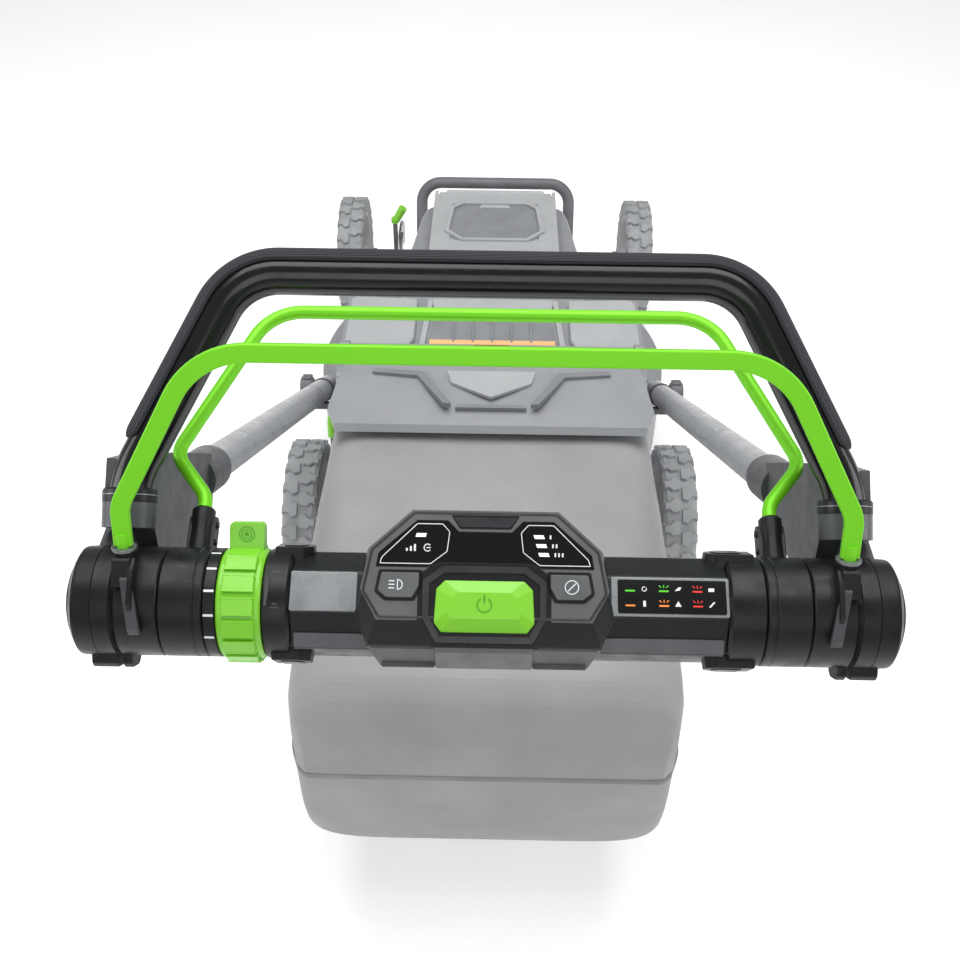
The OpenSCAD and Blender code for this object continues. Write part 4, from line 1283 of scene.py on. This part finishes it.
def framed_arc(outer: float, inner: float, start: float, end: float, low: float,
               high: float) -> Mesh:
    """Part of a flat ring: spins a small section round Z.

    Args:
        outer: Outer radius.
        inner: Inner radius.
        start: First angle in degrees.
        end: Last angle in degrees.
        low: Height of its underside.
        high: Height of its top.

    Returns:
        The closed mesh.
    """
    bm = bmesh.new()
    first = Matrix.Rotation(math.radians(start), 3, "Z")
    verts = [bm.verts.new(first @ Vector((r, 0, z)))
             for r, z in ((inner, low), (outer, low), (outer, high), (inner, high))]
    edges = looped(bm, verts)
    whole = abs(end - start) >= 360
    turn = math.radians(end - start)
    last = spun(bm, verts + edges, (0, 0, 0), (0, 0, 1), turn, 40, merge=whole)
    if not whole:
        bmesh.ops.contextual_create(bm, geom=edges)
        bmesh.ops.contextual_create(bm, geom=ring_of(bm, last)[1])
    return closed(bm)


# ---- handle ---------------------------------------------------------------------------------


@dataclass
class GripBar:
    """Gloss black U of the handlebar with a ribbed rubber pad on its outer side."""

    radius: float = 13.5
    leg: float = GRIP_LEG
    rise: float = 78.3
    reach: float = 212.0
    slope: float = 0.49
    pad_foot: float = 105.0
    ribs: int = 22
    pad_arc: float = 62.0
    rib_top: float = 16.9
    rib_root: float = 16.35

    def build(self) -> None:
        """Bends the tube and lays the ribbed pad on it."""
        place = CONSOLE @ spin_x(GRIP_TILT)
        top = self.leg - (self.reach - self.rise) * self.slope
        path = both_sides([(-top, self.reach), (-self.leg, self.rise), (-self.leg, POST_TOP)])
        tube = Form(place).add(swept(arc(self.radius, 0, 352.5, 47), path, [70, 42, 42, 70], 16))
        tube.piece("grip_bar", TUBE_BLACK, "handle", "grip_tube")
        foot = self.leg - (self.pad_foot - self.rise) * self.slope
        over = both_sides([(-top, self.reach), (-foot, self.pad_foot)])
        outer: list[Point] = []
        width = 2 * self.pad_arc / self.ribs
        for i in range(self.ribs):
            start = -self.pad_arc + 2 * self.pad_arc * i / self.ribs
            outer += arc(self.rib_top, start + width * 0.2, start + width * 0.7, 1)
            outer += arc(self.rib_root, start + width * 0.85, start + width, 1)
        section = outer + arc(self.radius + 0.06, self.pad_arc, -self.pad_arc, 12)
        pad = Form(place).add(swept(section, over, [42, 42], 16, nose=9.0))
        pad.piece("grip_cover", RUBBER, "handle", "grip_pad")


class Bails:
    """The two lime bars: flat for the blade, round for the drive."""

    def blade(self) -> None:
        """Flat bar with rounded edges and its two round feet."""
        place = CONSOLE @ at(0, *BLADE_FOOT) @ spin_x(BLADE_LEAN)
        path = both_sides([(-168.5, 127), (-BLADE_LEG, 30), (-BLADE_LEG, 4.4)])
        form = Form(place).add(swept(rounded_bar(11.5, 5.0, 1.3), path, [26, 52, 52, 26], 14))
        for x in (-BLADE_LEG, BLADE_LEG):
            form.add(tube_of(-8, 12.5, 4.1, 0.0, 32, 0.6), at(x, 0, 0) @ spin_z(90))
        form.piece("blade_bar", LIME_PAINT, "blade_bail_set", "blade_bail")

    def drive(self) -> None:
        """Round rod with an offset at each foot."""
        place = CONSOLE @ spin_x(DRIVE_TILT)
        path = both_sides([(-155, 218), (-209.5, 104), (-DRIVE_LEG, 73), (-DRIVE_LEG, POST_TOP)])
        form = Form(place).add(swept(arc(4.75, 0, 345, 23), path, [18, 16, 36, 36, 16, 18], 12))
        form.piece("drive_bar", LIME_PAINT, "drive_bail_set", "drive_bail")

    def build(self) -> None:
        """Builds both bars."""
        self.blade()
        self.drive()


@dataclass
class HandleFrame:
    """Lower tubes, cast brackets and the folding pivots."""

    tube_x: float = 230.0
    tube_r: float = 15.0
    tube_bore: float = 12.5
    pivot: Point = (-20.0, 392.0)
    upper: Point = (-640.0, 797.0)

    def tubes(self) -> None:
        """Grey tubes with a crimped collar at each end."""
        run = Vector((self.upper[0] - self.pivot[0], self.upper[1] - self.pivot[1]))
        angle = math.degrees(math.atan2(run.y, -run.x))
        length = run.length
        for side in Side:
            place = CHASSIS @ sided(side) @ at(-self.tube_x, *self.pivot)
            along = spin_x(-angle) @ spin_z(-90)
            form = Form(place)
            r, bore = self.tube_r, self.tube_bore
            form.add(turned([(-24, bore), (-24, r - 0.6), (-23.2, r), (length - 0.6, r),
                             (length, r - 0.6), (length, bore)], 48), along)
            form.piece(f"lower_bar_{side.word}", TUBE, "handle", f"lower_tube_{side.word}")
            bands = Form(place)
            bands.add(tube_of(length - 58, length - 47, 16.6, 14.9, 48, 0.8), along)
            bands.add(tube_of(34, 42, 16.4, 14.9, 48, 0.8), along)
            bands.piece(f"lower_bar_bands_{side.word}", CHARCOAL, "handle")

    def brackets(self) -> None:
        """Castings at the console's ends, with a black ring and a bright lip at the grip."""
        for side in Side:
            form = Form().add(refined(f"bracket_{side.word}", 1.4, 3))
            form.piece(f"bracket_casting_{side.word}", BRACKET, "handle", f"bracket_{side.word}")
            place = CONSOLE @ sided(side)
            socket = spin_x(GRIP_TILT) @ at(-GRIP_LEG, 0, 0) @ spin_z(90)
            ring = Form(place).add(turned([(62, 13.7), (62, 16.9), (62.6, 17.3), (69.6, 17.3),
                                           (71.2, 16.2), (71.2, 13.7)], 56), socket)
            ring.piece(f"grip_ring_{side.word}", BLACK, "handle")
            lip = Form(place).add(tube_of(66.6, 67.4, 17.6, 17.0, 56, 0.2), socket)
            lip.piece(f"grip_lip_{side.word}", BRACKET_LIGHT, "handle")
            bolts = Form(place)
            for y, z in ((62, 38), (88, 18), (120, -18)):
                bolts.add(turned([(1.0, 0), (1.0, 4.6), (-1.8, 4.6), (-2.6, 3.6), (-2.6, 2.2),
                                  (-1.2, 2.0), (-1.2, 0)], 24), at(-244.2, y, z))
            bolts.piece(f"bracket_bolts_{side.word}", STEEL, "handle")

    def pivots(self) -> None:
        """Mount blocks and lobed hand knobs."""
        for side in Side:
            form = Form().add(refined(f"handle_mount_{side.word}", 1.6, 3))
            form.piece(f"pivot_block_{side.word}", CHARCOAL_LIGHT, "chassis",
                       f"handle_mount_{side.word}")
        knobs = Form()
        for side in Side:
            place = CHASSIS @ sided(side) @ at(-self.tube_x, *self.pivot)
            knobs.add(tube_of(-16.2, 29.9, 5.95, 0.0, 32, 0.4), place)
            knobs.add(turned([(-16.4, 0), (-16.4, 12.5), (-19, 15.6), (-32, 15.6), (-34, 13.6),
                              (-34, 0)], 48), place)
            for lobe in range(8):
                knobs.add(prism(rounded_bar(13.5, 6.4, 2.6), 12.5, 17.9, edge=0.9),
                          place @ at(-25.4, 0, 0) @ spin_x(45 * lobe))
        knobs.piece("pivot_knobs", CHARCOAL_LIGHT, "chassis", "handle_pins")

    def build(self) -> None:
        """Builds the frame."""
        self.tubes()
        self.brackets()
        self.pivots()


# ---- wheels ---------------------------------------------------------------------------------


@dataclass
class Wheel:
    """A wheel with two rows of angular tread blocks and a spoked rim."""

    name: str
    side: Side
    axle: Point
    radius: float
    width: float = 52.0
    inner: float = 253.0
    blocks: int = 22
    section: tuple[Point, ...] = ((3, 27.9), (0.3, 18), (1.5, 10), (7, 5.6))
    block_foot: float = 9.5
    block_top: float = 0.7

    def block(self, mirrored: bool) -> Mesh:
        """One tread block: an angular pad raised on the crown."""
        outline = [(1.2, -10.0), (12.0, -12.6), (17.5, -7.0), (24.0, -8.0), (24.6, 3.6),
                   (15.4, 4.6), (9.6, 11.6), (1.2, 9.0)]
        if mirrored:
            outline = [(-x, -y) for x, y in outline]
        return prism(outline, self.radius - self.block_foot, self.radius - self.block_top,
                     edge=0.9, steps=1, top_inset=0.8)

    def build(self) -> None:
        """Turns the tyre, lays its blocks and refines the rim."""
        place = CHASSIS @ sided(self.side) @ at(-self.inner - self.width / 2, *self.axle)
        r, half = self.radius, self.width / 2
        form = Form(place)
        steps = [(inset, r - depth) for inset, depth in self.section]
        form.add(turned(two_ended(-half, half, steps), FACETS))
        pitch = 360 / self.blocks
        for i in range(self.blocks):
            form.add(self.block(False), spin_x(pitch * i))
            form.add(self.block(True), spin_x(pitch * (i + 0.5)))
            for sign in (-1, 1):
                shoulder = prism(rounded_bar(3.4, 13.0, 1.0), r - 17.5, r - 6.5, edge=0.6, steps=1)
                form.add(shoulder, spin_x(pitch * (i + (0 if sign > 0 else 0.5)))
                         @ at(sign * (half - 2.4), 0, 0))
        form.piece(f"{self.name}_tread", TYRE, f"{self.name}_wheel", f"{self.name}_tyre")
        rim = Form().add(refined(f"{self.name}_rim", 1.2, 2, 40.0))
        rim.piece(f"{self.name}_hub", RIM, f"{self.name}_wheel", f"{self.name}_rim")
        cap = Form(place)
        cap.add(turned([(-half + 3.2, 6.2), (-half + 3.2, 17), (-half + 1.0, 16),
                        (-half + 0.4, 13), (-half + 0.4, 6.2)], 48))
        cap.piece(f"{self.name}_hub_ring", SHELL_DARK, f"{self.name}_wheel")


# ---- chassis --------------------------------------------------------------------------------


@dataclass
class Chassis:
    """Deck, chute top, cover, lid, lift handle, levers and the small metalwork."""

    chute_top: float = 478.0
    recess_ribs: tuple[float, ...] = (-52.0, -26.0, 0.0, 26.0, 52.0)
    cover_back: float = 106.0
    cover_length: float = 512.0
    cover_foot: float = 176.0
    cover_power: float = 7.0
    cover_ridge: tuple[Point, ...] = ((104, 414), (275, 422), (462, 405), (560, 325), (612, 240),
                                      (620, 176))
    crown_from: Point = (250.0, 395.0)
    crown_to: float = 462.0
    crown_start: Point = (268.0, 404.0)
    crown_slope: float = 0.088
    vents: int = 5
    vent_pitch: float = 26.0
    cover_half: tuple[Point, ...] = ((90, 142), (300, 142), (470, 124), (622, 96))
    lid_spot: Point = (365.0, 425.4)
    nose_tilt: float = 66.0
    nose_leg: float = 138.0

    def deck(self) -> None:
        """Deck casting, and the panels, ribs, recess and pale strip on its chute."""
        form = Form().add(refined("deck", 2.4, 3, 40.0))
        form.piece("deck_shell", CAST, "chassis", "deck")
        top = self.chute_top
        panels = Form(CHASSIS)
        for side in Side:
            pad = [(-196, -47), (-112, -47), (-104, -30), (-104, 62), (-190, 66), (-196, 58)]
            panels.add(prism(pad, top - 1, top + 9, corner=4, edge=3.0, steps=3), sided(side))
            rib = [(-98, -46), (-90, -46), (-82, 66), (-90, 66)]
            panels.add(prism(rib, top - 1, top + 5, corner=1.5, edge=1.4), sided(side))
        bridge = [(-80, 30), (80, 30), (84, 66), (-84, 66)]
        panels.add(prism(bridge, top - 1, top + 7, corner=3, edge=2.4, steps=3))
        panels.piece("chute_panels", SHELL, "chassis")
        recess = Form(CHASSIS)
        floor = [(-86, -44), (86, -44), (80, 28), (-80, 28)]
        recess.add(prism(floor, top - 0.4, top + 1.2, corner=3, edge=0.6))
        for x in self.recess_ribs:
            recess.add(prism([(x - 1.6, -30), (x + 1.6, -30), (x + 1.6, 22), (x - 1.6, 22)],
                             top, top + 3.4, edge=0.8))
        recess.piece("chute_recess", SHELL_DARK, "chassis")
        strip = Form(CHASSIS)
        strip.add(prism([(-84, -35), (84, -35), (84, -25), (-84, -25)], top, top + 3.0,
                        corner=1.0, edge=0.5))
        strip.piece("chute_strip", PEACH, "chassis")

    def cover(self) -> None:
        """Moulded cover over the motor: a shaped block with a crowned top."""
        bm = divided_cube(26)
        for v in bm.verts:
            u, t, w = v.co
            y = self.cover_back + (t + 1) / 2 * self.cover_length
            wide = steady(self.cover_half, y) - 0.6
            high = steady(self.cover_ridge, y) - 0.8
            low = self.cover_foot + max(0.0, (150 - y) * 0.9)
            scale = cushion(u, w, self.cover_power) if w > -0.2 else 1.0
            u, w = u * scale, w * scale
            v.co = Vector((u * wide, y, low + (w + 1) / 2 * (high - low)))
        for v in bm.verts:
            if v.co.z > self.crown_from[1] and self.crown_from[0] < v.co.y < self.crown_to:
                fall = (v.co.y - self.crown_start[0]) * self.crown_slope
                v.co.z = min(v.co.z, self.crown_start[1] - fall)
        closed(bm)
        smoothed(bm, bm.verts[:], 0.35)
        form = Form(CHASSIS).add(bm)
        # Painted shade: the cover wears the door's darker grey rather than the lid's, standing in
        # for the shade on its shoulders.
        form.piece("motor_cover", DOOR, "chassis", "cowl", smooth=50)
        grooves = Form(CHASSIS)
        for side in Side:
            for i in range(self.vents):
                y = 230 + self.vent_pitch * i
                slot = [(y + 8, 0), (y + 22, 0), (y + 14, 62), (y, 62)]
                grooves.add(prism(slot, -1.2, 1.2, corner=2.0, edge=0.5),
                            sided(side) @ at(-141.5 + 0.5 * i, 0, 282) @ SIDEWAYS)
        grooves.piece("cover_vents", SHELL_DARK, "chassis")

    def lid(self) -> None:
        """Battery lid: crowned plate, darker window, rim and badge plate."""
        form = Form().add(refined("battery_lid", 2.2, 3, 30.0))
        form.piece("lid_shell", SHELL, "lid", "battery_lid")
        slope = math.degrees(math.atan2(419.5 - 431, 430 - 300))
        place = CHASSIS @ at(0, *self.lid_spot) @ spin_x(slope)
        window = Form(place)
        window.add(prism([(-46, -62), (46, -62), (70, -34), (64, 44), (50, 58), (-50, 58),
                          (-64, 44), (-70, -34)], -1.5, 3.2, corner=3, edge=1.6, steps=3))
        window.piece("lid_window", SHELL_DARK, "lid")
        rim = Form(place)
        rim.add(framed([(-52, -70), (52, -70), (79, -38), (72, 48), (54, 66), (-54, 66),
                        (-72, 48), (-79, -38)], 6.5, 0, 5.6, 3))
        rim.add(prism([(-26, 44), (26, 44), (22, 56), (-22, 56)], 2.0, 5.6, corner=1.5, edge=0.7))
        rim.piece("lid_rim", SHELL, "lid")

    def lift_handle(self) -> None:
        """Bent tube at the nose with two foot sleeves."""
        leg = self.nose_leg
        place = CHASSIS @ at(0, 650, 175.05) @ spin_x(self.nose_tilt)
        path = both_sides([(-leg, 142), (-leg, -6)])
        form = Form(place).add(swept(arc(10.4, 0, 345, 23), path, [36, 36], 12))
        form.piece("lift_tube", CHARCOAL_LIGHT, "chassis", "front_lift_handle")
        feet = Form(place)
        for x in (-leg, leg):
            feet.add(tube_of(12, 30, 13.2, 9.8, 40, 1.2), at(x, 0, 0) @ spin_z(90))
        feet.piece("lift_tube_feet", SHELL_DARK, "chassis")

    def levers(self) -> None:
        """Height levers with lime tips, their quadrants and the crank axles."""
        dressed((("front_lever", "front_crank", CHARCOAL_LIGHT, 1.0),
                 ("rear_lever", "rear_crank", CHARCOAL_LIGHT, 1.0),
                 ("front_lever_grip", "front_crank", LIME, 0.8),
                 ("rear_lever_grip", "rear_crank", LIME, 0.0),
                 ("front_axle", "front_crank", STEEL, 0.8),
                 ("rear_axle", "rear_crank", STEEL, 0.8),
                 ("front_quadrant", "chassis", BRACKET_LIGHT, 0.6),
                 ("rear_quadrant", "chassis", BRACKET_LIGHT, 0.6)))

    def small_parts(self) -> None:
        """Dresses the parts under the deck and inside the cover."""
        dressed((("motor_housing", "chassis", CHARCOAL, 1.5),
                 ("controller", "chassis", CHARCOAL, 1.5),
                 ("battery_pack", "chassis", BLACK, 3.0),
                 ("door_rod", "chassis", STEEL, 0.4),
                 ("blade", "cutter", STEEL, 0.5),
                 ("spindle", "cutter", STEEL, 0.6),
                 ("blade_bolt", "cutter", CHARCOAL, 0.6),
                 ("drive_gearbox", "rear_crank", CAST, 1.6),
                 ("bag_frame", "bag", CHARCOAL_LIGHT, 1.5),
                 ("console_beam", "handle", STEEL, 0.4)))
        for node, finish in (("door_spring", STEEL), ("drive_shaft", STEEL)):
            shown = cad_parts[node]
            shown.data.materials.clear()
            shown.data.materials.append(finish.material())
            LOG.info("%s keeps its CAD mesh", node)

    def build(self) -> None:
        """Builds the chassis."""
        self.deck()
        self.cover()
        self.lid()
        self.lift_handle()
        self.levers()
        self.small_parts()


@dataclass
class RearDoor:
    """Sprung door over the bag's mouth, with two stepped ribs and a plain plate."""

    top: Point = (-132.0, 506.0)
    fall: Point = (84.0, 12.0)

    def build(self) -> None:
        """Builds the panel, its ribs and its plate."""
        form = Form().add(refined("rear_door", 1.8, 3, 25.0))
        form.piece("door_panel", DOOR, "door", "rear_door")
        slope = -math.degrees(math.atan2(self.fall[1], self.fall[0]))
        top = CHASSIS @ at(0, *self.top)
        ribs = Form(top)
        for side in Side:
            rib = [(-150, -2), (-92, -8), (-58, -62), (-48, -62), (-84, 0), (-146, 6)]
            ribs.add(prism(rib, -3, 4.2, corner=2.0, edge=1.6), sided(side))
        ribs.add(prism([(-44, -62), (44, -62), (40, -56), (-40, -56)], -4, 2.2, corner=1, edge=0.8),
                 spin_x(-slope * 0.5))
        ribs.piece("door_ribs", DOOR_DEEP, "door")
        plate = Form(top)
        plate.add(prism([(-56, 6), (56, 6), (50, -18), (0, -46), (-50, -18)], -3, 1.6, corner=2.0,
                        edge=0.6))
        plate.piece("door_plate", SHELL, "door")


# ---- grass bag ------------------------------------------------------------------------------


@dataclass
class GrassBag:
    """Lofted cloth shell that hangs from its frame, with piping along its ridge and mouth."""

    mouth: float = -131.0
    back: float = -600.0
    wall: float = 2.4
    cuts: int = 44
    sag: float = 7.0
    belly: float = 2.0
    waist: float = 5.0
    wrinkles: float = 2.2
    folds: float = 0.7
    top: tuple[Point, ...] = ((-131, 473), (-215, 476.5), (-400, 471), (-540, 466), (-570, 458),
                              (-588, 440), (-597, 415), (-600, 385))
    low: tuple[Point, ...] = ((-131, 217), (-175, 176), (-215, 152), (-300, 124), (-545, 128),
                              (-566, 144), (-584, 200), (-596, 290), (-600, 330))
    half: tuple[Point, ...] = ((-131, 196), (-300, 205), (-430, 210), (-560, 207.5), (-588, 201),
                               (-600, 190))

    def spot(self, u: float, t: float, w: float) -> Vector:
        """Where a point of the unit block goes on the bag.

        Args:
            u: Across, from -1 to 1.
            t: From the mouth at -1 to the back at 1.
            w: Up, from -1 to 1.

        Returns:
            The point in the chassis frame.
        """
        share = math.sin((t + 1) / 4 * math.pi)
        y = self.mouth + (self.back - self.mouth) * share
        scale = cushion(u, w, 9.0 - 2.0 * share)
        u, w = u * scale, w * scale
        high, low, wide = steady(self.top, y), steady(self.low, y), steady(self.half, y)
        z = low + (w + 1) / 2 * (high - low)
        slack = math.sin(math.pi * share) ** 0.8
        upper = max(0.0, w)
        z -= self.sag * slack * upper**3 * (1 - abs(u) ** 2.4)
        z += self.belly * slack * max(0.0, -w) ** 3 * (1 - u * u)
        wide -= self.waist * slack * (1 - abs(w) ** 2) * abs(u) ** 3
        wrinkle = noise.noise(Vector((u * 2.1, y / 120, w * 3.3))) * self.wrinkles * slack
        fold = math.sin(y / 19 + w * 2.5) * self.folds * slack * (1 - abs(w) ** 4)
        bulge = math.copysign(min(0.0, wrinkle) + fold - 0.7, u) * abs(u) ** 3
        return Vector((u * wide + bulge, y, z - abs(wrinkle) * upper**2))

    def shell(self) -> None:
        """Shapes a divided block into the bag, opens its mouth and gives it its wall."""
        bm = divided_cube(self.cuts)
        mouth = [f for f in bm.faces if all(v.co.y < -0.999 for v in f.verts)]
        bmesh.ops.delete(bm, geom=mouth, context="FACES")
        for v in bm.verts:
            v.co = self.spot(*v.co)
        bmesh.ops.recalc_face_normals(bm, faces=bm.faces[:])
        smoothed(bm, [v for v in bm.verts if not v.is_boundary], 0.5)
        bmesh.ops.solidify(bm, geom=bm.faces[:], thickness=self.wall)
        form = Form(CHASSIS).add(bm)
        form.piece("bag_shell", FABRIC, "bag", "grass_bag", smooth=60)

    def piping(self) -> None:
        """Sewn ridge round the sides and back, and the hem round the mouth."""
        ridge = Form(CHASSIS @ at(0, 0, 326))
        back, front = steady(self.half, -590), steady(self.half, -200)
        path = both_sides([(-back + 3, -601.2), (-209.6, -566), (-210.6, -430),
                           (-front - 1.0, -200)])
        ridge.add(swept(rounded_bar(4.6, 9.0, 2.2), path, [200, 60, 16, 16, 60, 200], 8))
        ridge.piece("bag_ridge", PIPING, "bag")
        hem = Form(CHASSIS @ at(0, -134, 345) @ spin_x(90))
        mouth = [(-190, 0), (-190, 124), (190, 124), (190, -122), (-190, -122), (-190, 0)]
        hem.add(swept(rounded_bar(5.0, 8.0, 1.6), mouth, [30, 30, 30, 30], 8))
        hem.piece("bag_hem", PIPING, "bag")

    def build(self) -> None:
        """Builds the bag."""
        self.shell()
        self.piping()


# ---- studio ---------------------------------------------------------------------------------


@dataclass(frozen=True)
class Softbox:
    """A square soft light: its place and side in metres, its turns in degrees, its watts."""

    spot: Spot
    turn_x: float
    turn_y: float
    size: float
    power: float


@dataclass
class Studio:
    """Camera at the operator's eye, pale floor and soft lights."""

    eye: Spot = (0.0037, -1.32, 1.4411)
    pitch: float = 43.0
    yaw: float = 0.82
    roll: float = 0.4
    lens: float = 45.2
    sensor: float = 36.0
    clip: tuple[float, float] = (0.02, 60.0)
    ambient: float = 0.35
    backdrop: float = 1.0
    floor_half: float = 14.0
    softboxes: tuple[Softbox, ...] = (Softbox((0.0, 0.1, 3.0), 0, 0, 2.4, 66.0),
                                      Softbox((-2.3, -0.9, 1.5), 0, -62, 1.2, 15.0),
                                      Softbox((2.3, -0.9, 1.5), 0, 62, 1.2, 15.0),
                                      Softbox((0.0, -3.2, 2.2), 58, 0, 1.6, 15.0))

    def camera(self) -> None:
        """Sets the camera behind and above the console, looking forward and down."""
        data = bpy.data.cameras.new("operator_view")
        data.lens = self.lens
        data.sensor_width = self.sensor
        data.clip_start, data.clip_end = self.clip
        made = placed("operator_view", data)
        made.matrix_world = (at(*self.eye) @ spin_z(self.yaw)
                             @ spin_x(90 - self.pitch) @ spin_z(self.roll))
        bpy.context.scene.camera = made

    def floor(self) -> None:
        """Pale floor that is not part of the object."""
        bm = bmesh.new()
        bmesh.ops.create_grid(bm, x_segments=8, y_segments=8, size=self.floor_half)
        mesh = bpy.data.meshes.new("floor")
        bm.to_mesh(mesh)
        bm.free()
        made = placed("floor", mesh)
        mesh.materials.append(FLOOR.material())

    def lights(self) -> None:
        """Even surroundings, and soft lights overhead, on each side and behind the operator."""
        world = bpy.data.worlds.new("studio")
        world.use_nodes = True
        nodes = world.node_tree.nodes
        seen = nodes.new("ShaderNodeLightPath").outputs["Is Camera Ray"]
        level = nodes.new("ShaderNodeMapRange")
        level.inputs["To Min"].default_value = self.ambient
        level.inputs["To Max"].default_value = self.backdrop
        world.node_tree.links.new(seen, level.inputs["Value"])
        world.node_tree.links.new(level.outputs["Result"], nodes["Background"].inputs["Strength"])
        nodes["Background"].inputs["Color"].default_value = (1, 1, 1, 1)
        bpy.context.scene.world = world
        for i, box in enumerate(self.softboxes):
            data = bpy.data.lights.new(f"softbox_{i}", "AREA")
            data.shape = "SQUARE"
            data.size = box.size
            data.energy = box.power
            made = placed(f"softbox_{i}", data)
            made.matrix_world = at(*box.spot) @ spin_y(box.turn_y) @ spin_x(box.turn_x)

    def build(self) -> None:
        """Builds the studio."""
        bpy.context.scene.view_settings.view_transform = "Standard"
        self.camera()
        self.floor()
        self.lights()


def main() -> None:
    """Builds every sub-assembly in order."""
    logging.basicConfig(level=logging.INFO, format="%(name)s: %(message)s")
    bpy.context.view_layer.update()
    for part in (Studio(), Barrel(), SpeedDial(), Casing(), Indicators(), DisplayBox(), GripBar(),
                 Bails(), HandleFrame()):
        part.build()
    for end, axle in (("front", (752.0, 115.0)), ("rear", (0.0, 120.0))):
        for side in Side:
            Wheel(f"{end}_{side.word}", side, axle, radius=axle[1]).build()
    for part in (Chassis(), RearDoor(), GrassBag()):
        part.build()


if __name__ == "__main__":
    main()
